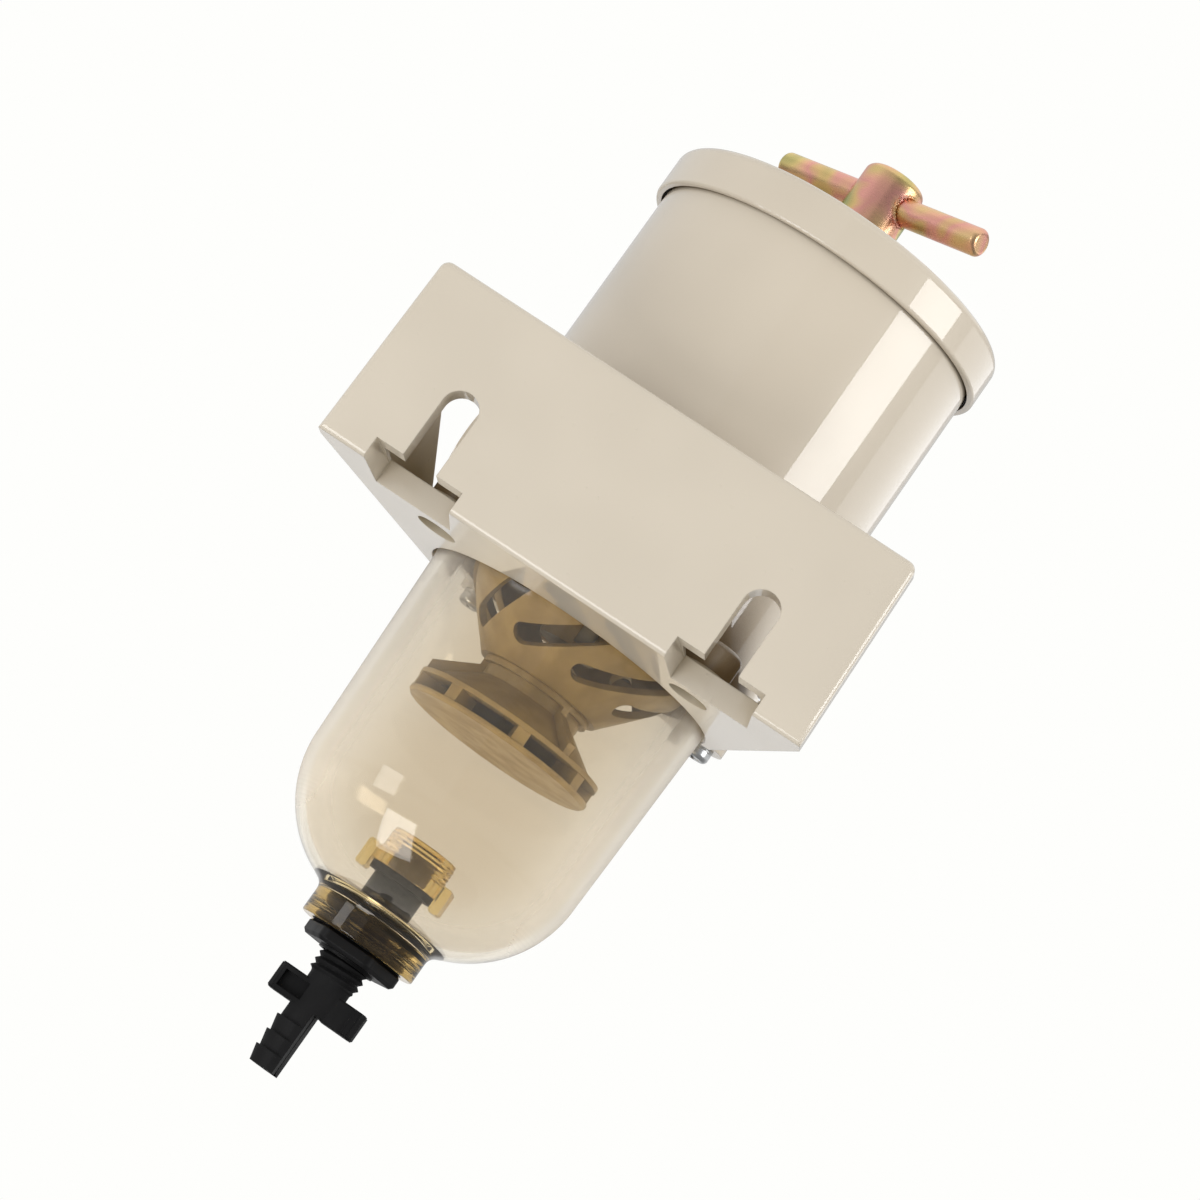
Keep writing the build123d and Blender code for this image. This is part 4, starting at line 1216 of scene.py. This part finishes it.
@dataclass
class PortThread:
    """The pipe thread inside each of the two side ports."""

    layout: Layout
    face: float = 57.0
    seat_depth: float = 2.5
    depth: float = 16.0
    end_gap: float = 0.3
    forward: float = 12.0
    bore: float = 8.75
    crest: float = 7.9
    bore_gap: float = 0.02
    bedding: float = 0.1
    pitch: float = 1.5
    steps: int = 96
    rows: int = 8

    def build(self) -> None:
        """Models a thread in each port, on the port's own axis."""
        height = self._middle()
        start = self.face - self.depth + self.end_gap
        end = self.face - self.seat_depth - self.end_gap
        count = round((end - start) / self.pitch * self.rows)
        bedded = [self.bore + self.bedding] * self.steps
        for side, name in ((1, "left_port_thread"), (-1, "right_port_thread")):
            shape = bmesh.new()
            rings = [self._ring(shape, side * start, height, bedded)]
            for row in range(count + 1):
                reach = start + (end - start) * row / count
                rings.append(self._ring(shape, side * reach, height, self._radii(side, reach)))
            rings.append(self._ring(shape, side * end, height, bedded))
            join_rings(shape, rings)
            stand_for(self.layout.made(name, shape), Look.TUBE, "housing")

    def _radii(self, side: int, reach: float) -> list[float]:
        """Gives the thread's radius at each step around.

        Args:
            side: 1 for the port towards +X and -1 for the one towards -X.
            reach: Distance from the can's axis.

        Returns:
            The radii.
        """
        root, depth = self.bore - self.bore_gap, self.bore - self.crest
        turns = (reach / self.pitch + side * step / self.steps for step in range(self.steps))
        return [root - depth * ridge(turn) for turn in turns]

    def _ring(
        self, shape: bmesh.types.BMesh, across: float, height: float, radii: Sequence[float]
    ) -> Ring:
        """Adds a ring of corners about the port's axis.

        Args:
            shape: The mesh under construction.
            across: Distance from the can's axis, with its sign.
            height: Height of the port's axis in metres.
            radii: The radius at each step around.

        Returns:
            The ring.
        """
        middle = Vector((self.layout.axis.x + across * MM, self.layout.axis.y - self.forward * MM, height))
        ring = []
        for step, radius in enumerate(radii):
            turn = 2 * math.pi * step / len(radii)
            outward = Vector((0.0, math.cos(turn), math.sin(turn)))
            ring.append(shape.verts.new(middle + outward * radius * MM))
        return ring

    def _middle(self) -> float:
        """Gives the height of the ports' axis, read from the widest points of the body."""
        corners = [vertex.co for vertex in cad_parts["filter_body"].data.vertices]
        reach = max(corner.x for corner in corners)
        faces = [corner.z for corner in corners if corner.x > reach - TOUCH]
        return (min(faces) + max(faces)) / 2


@dataclass(frozen=True)
class CrossBar:
    """How the handle's bar runs through its hub, read from the construction model."""

    middle: Vector
    along: Vector
    hub_radius: float

    @classmethod
    def read(cls) -> "CrossBar":
        """Reads the bar's middle, its level direction and the hub's radius in millimetres."""
        low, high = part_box("handle_bar")
        hub_low, hub_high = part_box("handle_hub")
        corners = [vertex.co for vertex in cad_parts["handle_bar"].data.vertices]
        rightmost = max(corners, key=lambda corner: corner.x)
        slope = 1 if rightmost.y > (low.y + high.y) / 2 else -1
        along = Vector((high.x - low.x, slope * (high.y - low.y), 0.0)).normalized()
        return cls((low + high) / 2, along, (hub_high.x - hub_low.x) / 2 / MM)


@dataclass
class StakedRing:
    """The rough ring of metal that was driven up around the bar where it leaves the hub."""

    layout: Layout
    bar_radius: float = 4.25
    tube_radius: float = 0.5
    tube_roughness: float = 0.35
    spread: tuple[float, float] = (-0.084, 0.28)
    push: tuple[float, float] = (-0.168, 0.112)
    steps: int = 96
    around: int = 10
    seed: int = 7

    def build(self) -> None:
        """Models a ring on each side of the hub."""
        bar = CrossBar.read()
        chance = random.Random(self.seed)
        turns = [2 * math.pi * step / self.steps for step in range(self.steps)]
        for side, name in ((1, "staked_ring_left"), (-1, "staked_ring_right")):
            shape = bmesh.new()
            join_rings(shape, [self._section(shape, bar, side, turn, chance) for turn in turns])
            stand_for(self.layout.made(name, shape), Look.YELLOW, "handle")

    def _section(
        self, shape: bmesh.types.BMesh, bar: CrossBar, side: int, turn: float, chance: random.Random
    ) -> Ring:
        """Adds one rough section of a ring.

        Args:
            shape: The mesh under construction.
            bar: The bar that the ring lies around.
            side: 1 for the ring towards +X and -1 for the one towards -X.
            turn: Angle about the bar in radians.
            chance: Source of the roughness.

        Returns:
            The section's corners.
        """
        across = Vector((-bar.along.y, bar.along.x, 0.0))
        outward = across * math.cos(turn) + Vector((0.0, 0.0, math.sin(turn)))
        spread = self.bar_radius + chance.uniform(*self.spread)
        reach = math.sqrt(bar.hub_radius**2 - (spread * math.cos(turn)) ** 2) + chance.uniform(*self.push)
        centre = bar.middle + bar.along * (side * reach * MM) + outward * (spread * MM)
        ring = []
        for spot in range(self.around):
            bend = 2 * math.pi * spot / self.around
            size = self.tube_radius * (1 + self.tube_roughness * chance.uniform(-1.0, 1.0))
            leaning = outward * math.cos(bend) + bar.along * math.sin(bend)
            ring.append(shape.verts.new(centre + leaning * (size * MM)))
        return ring


@dataclass
class Separator:
    """The whole filter, with the construction nodes that keep their own mesh."""

    layout: Layout
    looks: dict[str, Look] = field(
        default_factory=lambda: {
            "mounting_bracket": Look.CASTING,
            "filter_body": Look.CAN,
            "clamp_screws": Look.BRIGHT,
            "lock_washers": Look.BRIGHT,
            "bowl_gasket": Look.RUBBER,
            "turbine": Look.AMBER,
            "turbine_screws": Look.BRIGHT,
            "vane_disc": Look.AMBER,
            "check_ball_seat": Look.BLACK,
            "check_ball": Look.WHITE,
            "return_tube": Look.TUBE,
            "element_bottom_cap": Look.GREEN,
            "element_top_cap": Look.GREEN,
            "element_seal": Look.RUBBER,
            "element_media": Look.PAPER,
            "element_core": Look.BLACK,
            "lid": Look.CAN,
            "lid_gasket": Look.RUBBER,
            "handle_o_ring": Look.RUBBER,
            "handle_washer": Look.BRIGHT,
            "handle_hub": Look.YELLOW,
            "handle_bar": Look.YELLOW,
            "drain_bush": Look.BLACK,
            "drain_o_ring": Look.RUBBER,
            "drain_seal_washer": Look.RUBBER,
            "drain_valve_seal": Look.RUBBER,
        }
    )

    def build(self) -> None:
        """Dresses the nodes and models the pieces that need a finer shape."""
        for node, look in self.looks.items():
            show_node(node, look)
        ClearBowl(self.layout).build()
        SeatNut(self.layout).build()
        DrainValve(self.layout).build()
        StakedRing(self.layout).build()
        PortThread(self.layout).build()


@dataclass
class PhotoCamera:
    """The photograph's camera: below the object and to its left, with the picture turned."""

    place: tuple[float, float, float] = (-0.16498, 0.92813, -0.18624)
    heading: float = 9.387
    rise: float = 9.984
    picture_turn: float = 35.257
    lens: float = 114.76
    sensor: float = 36.0
    nearest: float = 0.01
    farthest: float = 50.0

    def build(self) -> None:
        """Makes the camera and looks through it."""
        angles = (self.heading, self.rise, self.picture_turn)
        heading, rise, turn = (math.radians(angle) for angle in angles)
        ahead = Vector(
            (math.sin(heading) * math.cos(rise), -math.cos(heading) * math.cos(rise), math.sin(rise))
        )
        level = ahead.cross(Vector((0, 0, 1))).normalized()
        upright = level.cross(ahead)
        right = level * math.cos(turn) + upright * math.sin(turn)
        above = upright * math.cos(turn) - level * math.sin(turn)
        data = bpy.data.cameras.new("photo_camera")
        data.lens = self.lens
        data.sensor_width = self.sensor
        data.clip_start = self.nearest
        data.clip_end = self.farthest
        camera = bpy.data.objects.new("photo_camera", data)
        bpy.context.scene.collection.objects.link(camera)
        matrix = camera.matrix_world.copy()
        for row in range(3):
            matrix[row][0] = right[row]
            matrix[row][1] = above[row]
            matrix[row][2] = -ahead[row]
            matrix[row][3] = self.place[row]
        camera.matrix_world = matrix
        bpy.context.scene.camera = camera


@dataclass
class Softbox:
    """A large soft lamp that faces the object."""

    name: str
    azimuth: float
    elevation: float
    distance: float
    width: float
    height: float
    power: float

    def build(self, target: Vector) -> None:
        """Hangs the lamp around a target.

        Args:
            target: The place that the lamp faces. Azimuth 0 is on the -Y side, and 180 on the wall side.
        """
        azimuth, elevation = math.radians(self.azimuth), math.radians(self.elevation)
        away = Vector(
            (
                math.sin(azimuth) * math.cos(elevation),
                -math.cos(azimuth) * math.cos(elevation),
                math.sin(elevation),
            )
        )
        data = bpy.data.lights.new(self.name, "AREA")
        data.shape = "RECTANGLE"
        data.size = self.width
        data.size_y = self.height
        data.energy = self.power
        lamp = bpy.data.objects.new(self.name, data)
        lamp.location = target + away * self.distance
        lamp.rotation_euler = away.to_track_quat("Z", "Y").to_euler()
        lamp.visible_camera = False
        bpy.context.scene.collection.objects.link(lamp)


@dataclass
class Studio:
    """White surroundings, a pale floor below the camera, grey card for the gloss, and soft lamps.

    Sizes and heights are in metres, and the patches of tone on the floor in millimetres.
    """

    floor_drop: float = 1.1
    floor_size: float = 9.0
    floor_patch: float = 400.0
    floor_colour: Colour = srgb(250, 250, 249)
    floor_shade: Colour = srgb(247, 247, 246)
    floor_roughness: float = 0.9
    floor_glow: float = 0.4
    glow_colour: Colour = srgb(255, 255, 254)
    bounce: float = 0.72
    segments: int = 96
    white: Colour = srgb(254, 254, 252)
    fill_colour: Colour = srgb(255, 253, 250)
    fill: float = 0.83
    fill_behind: float = 0.64
    fill_turn: float = 0.8
    lamps: list[Softbox] = field(
        default_factory=lambda: [
            Softbox("key_softbox", 254.5, 17.2, 1.256, 0.69, 0.295, 4.2),
            Softbox("rim_softbox", 313.0, 17.2, 1.256, 1.2, 0.295, 1.05),
            Softbox("side_softbox", 137.0, -10.0, 1.5, 0.5, 0.48, 1.8),
            Softbox("low_softbox", 159.0, -47.0, 1.2, 0.52, 0.7, 5.2),
        ]
    )
    card_radius: float = 1.7
    card_low: float = -1.2
    card_high: float = 1.4
    wall_tones: Tones = (
        (0.0, 0.3),
        (0.15, 0.4),
        (0.25, 0.3),
        (0.31, 0.35),
        (0.42, 0.5),
        (0.66, 0.75),
        (0.82, 0.85),
        (0.91, 0.55),
    )
    low_tones: Tones = (
        (0.0, 0.35),
        (0.1, 0.18),
        (0.3, 0.22),
        (0.45, 0.8),
        (0.6, 0.8),
        (0.75, 0.6),
        (0.9, 0.4),
        (0.97, 0.35),
    )
    low_top: float = -0.12
    low_fade: float = 0.06
    dark_top: float = -0.5
    dark_full: float = -0.8
    dark_share: float = 0.25

    def build(self) -> None:
        """Makes the floor, the grey card, the white world and the lamps."""
        low, high = cad_box
        centre = (low + high) / 2
        self._floor(low.z - self.floor_drop, centre)
        self._card(centre)
        self._world()
        for lamp in self.lamps:
            lamp.build(centre)
        bpy.context.scene.view_settings.view_transform = "Standard"

    def _floor(self, height: float, centre: Vector) -> None:
        """Lays a round pale floor, which looks brighter to the camera, gloss and glass than to the rest.

        Args:
            height: The floor's height in metres.
            centre: The object's middle.
        """
        shape = bmesh.new()
        bmesh.ops.create_circle(shape, cap_ends=True, segments=self.segments, radius=self.floor_size)
        piece = Layout.made("floor", shape)
        piece.location = (centre.x, centre.y, height)
        graph = Graph("floor_white")
        tone = graph.noise(graph.place(), self.floor_patch, detail=2.0)
        colour = graph.blend(tone, self.floor_colour, self.floor_shade)
        seen = graph.seen_in_full()
        dimmed = graph.blend(1.0, colour, grey(self.bounce), "MULTIPLY")
        bright = graph.blend(seen, dimmed, colour)
        paper = graph.surface({"Base Color": bright, "Roughness": self.floor_roughness})
        light = {"Color": self.glow_colour, "Strength": self.floor_glow}
        glow = graph.node("ShaderNodeEmission", {}, light)
        lit = graph.node("ShaderNodeAddShader", {}, {0: paper, 1: glow})
        floor = graph.finish(graph.node("ShaderNodeMixShader", {}, {0: seen, 1: paper, 2: lit}))
        piece.data.materials.append(floor)

    def _card(self, centre: Vector) -> None:
        """Stands grey card around and under the object, which only its gloss sees."""
        shape = bmesh.new()
        rings = []
        for height in (self.card_low, self.card_high):
            ring = []
            for step in range(self.segments):
                turn = 2 * math.pi * step / self.segments
                spot = (self.card_radius * math.sin(turn), self.card_radius * math.cos(turn), height)
                ring.append(shape.verts.new(spot))
            rings.append(ring)
        join_rings(shape, rings, closed=False)
        shape.faces.new(rings[0])
        piece = Layout.made("grey_card", shape)
        piece.location = centre
        graph = Graph("grey_card")
        glow = graph.node("ShaderNodeEmission", {}, {"Color": self._card_tone(graph)})
        piece.data.materials.append(graph.finish(glow))
        piece.visible_camera = False
        piece.visible_diffuse = False
        piece.visible_shadow = False
        piece.visible_transmission = False

    def _card_tone(self, graph: Graph) -> Wire:
        """Shades the card by the direction from the object.

        Args:
            graph: The card's nodes.

        Returns:
            The tone, from one row of tones beside the object, another below it, and dark underneath.
        """
        place = graph.place()
        height = graph.axis_of(place, "Z")
        aside = {0: graph.axis_of(place, "X"), 1: 0 - graph.axis_of(place, "Y")}
        turn = graph.node("ShaderNodeMath", {"operation": "ARCTAN2"}, aside)
        share = turn * (1 / (2 * math.pi)) + 0.5
        beside, below = (
            graph.ramp(share, tuple((spot, grey(tone)) for spot, tone in tones))
            for tones in (self.wall_tones, self.low_tones)
        )
        raised = graph.between(height, self.low_top - self.low_fade, self.low_top)
        tone = graph.blend(raised, below, beside)
        underneath = graph.between(height, self.dark_full, self.dark_top, 1.0, 0.0)
        return graph.blend(underneath, tone, grey(self.dark_share))

    def _world(self) -> None:
        """Surrounds the object with white that the camera, gloss and glass see in full."""
        graph = Graph("white_surroundings", of_world=True)
        towards = graph.node("ShaderNodeTexCoord", {}, {}, "Generated")
        fill = {
            "Value": graph.axis_of(towards, "Y"),
            "From Min": -self.fill_turn,
            "From Max": self.fill_turn,
            "To Min": self.fill_behind,
            "To Max": self.fill,
        }
        strength = graph.node("ShaderNodeMapRange", {}, fill)
        soft = graph.node("ShaderNodeBackground", {}, {"Color": self.fill_colour, "Strength": strength})
        white = graph.node("ShaderNodeBackground", {}, {"Color": self.white, "Strength": 1.0})
        mixed = graph.node("ShaderNodeMixShader", {}, {0: graph.seen_in_full(), 1: soft, 2: white})
        bpy.context.scene.world = graph.finish(mixed)


def main() -> None:
    """Builds the separator, its studio and the camera."""
    logging.basicConfig(level=logging.INFO, format="%(message)s")
    Separator(Layout.read()).build()
    Studio().build()
    PhotoCamera().build()


if __name__ == "__main__":
    main()
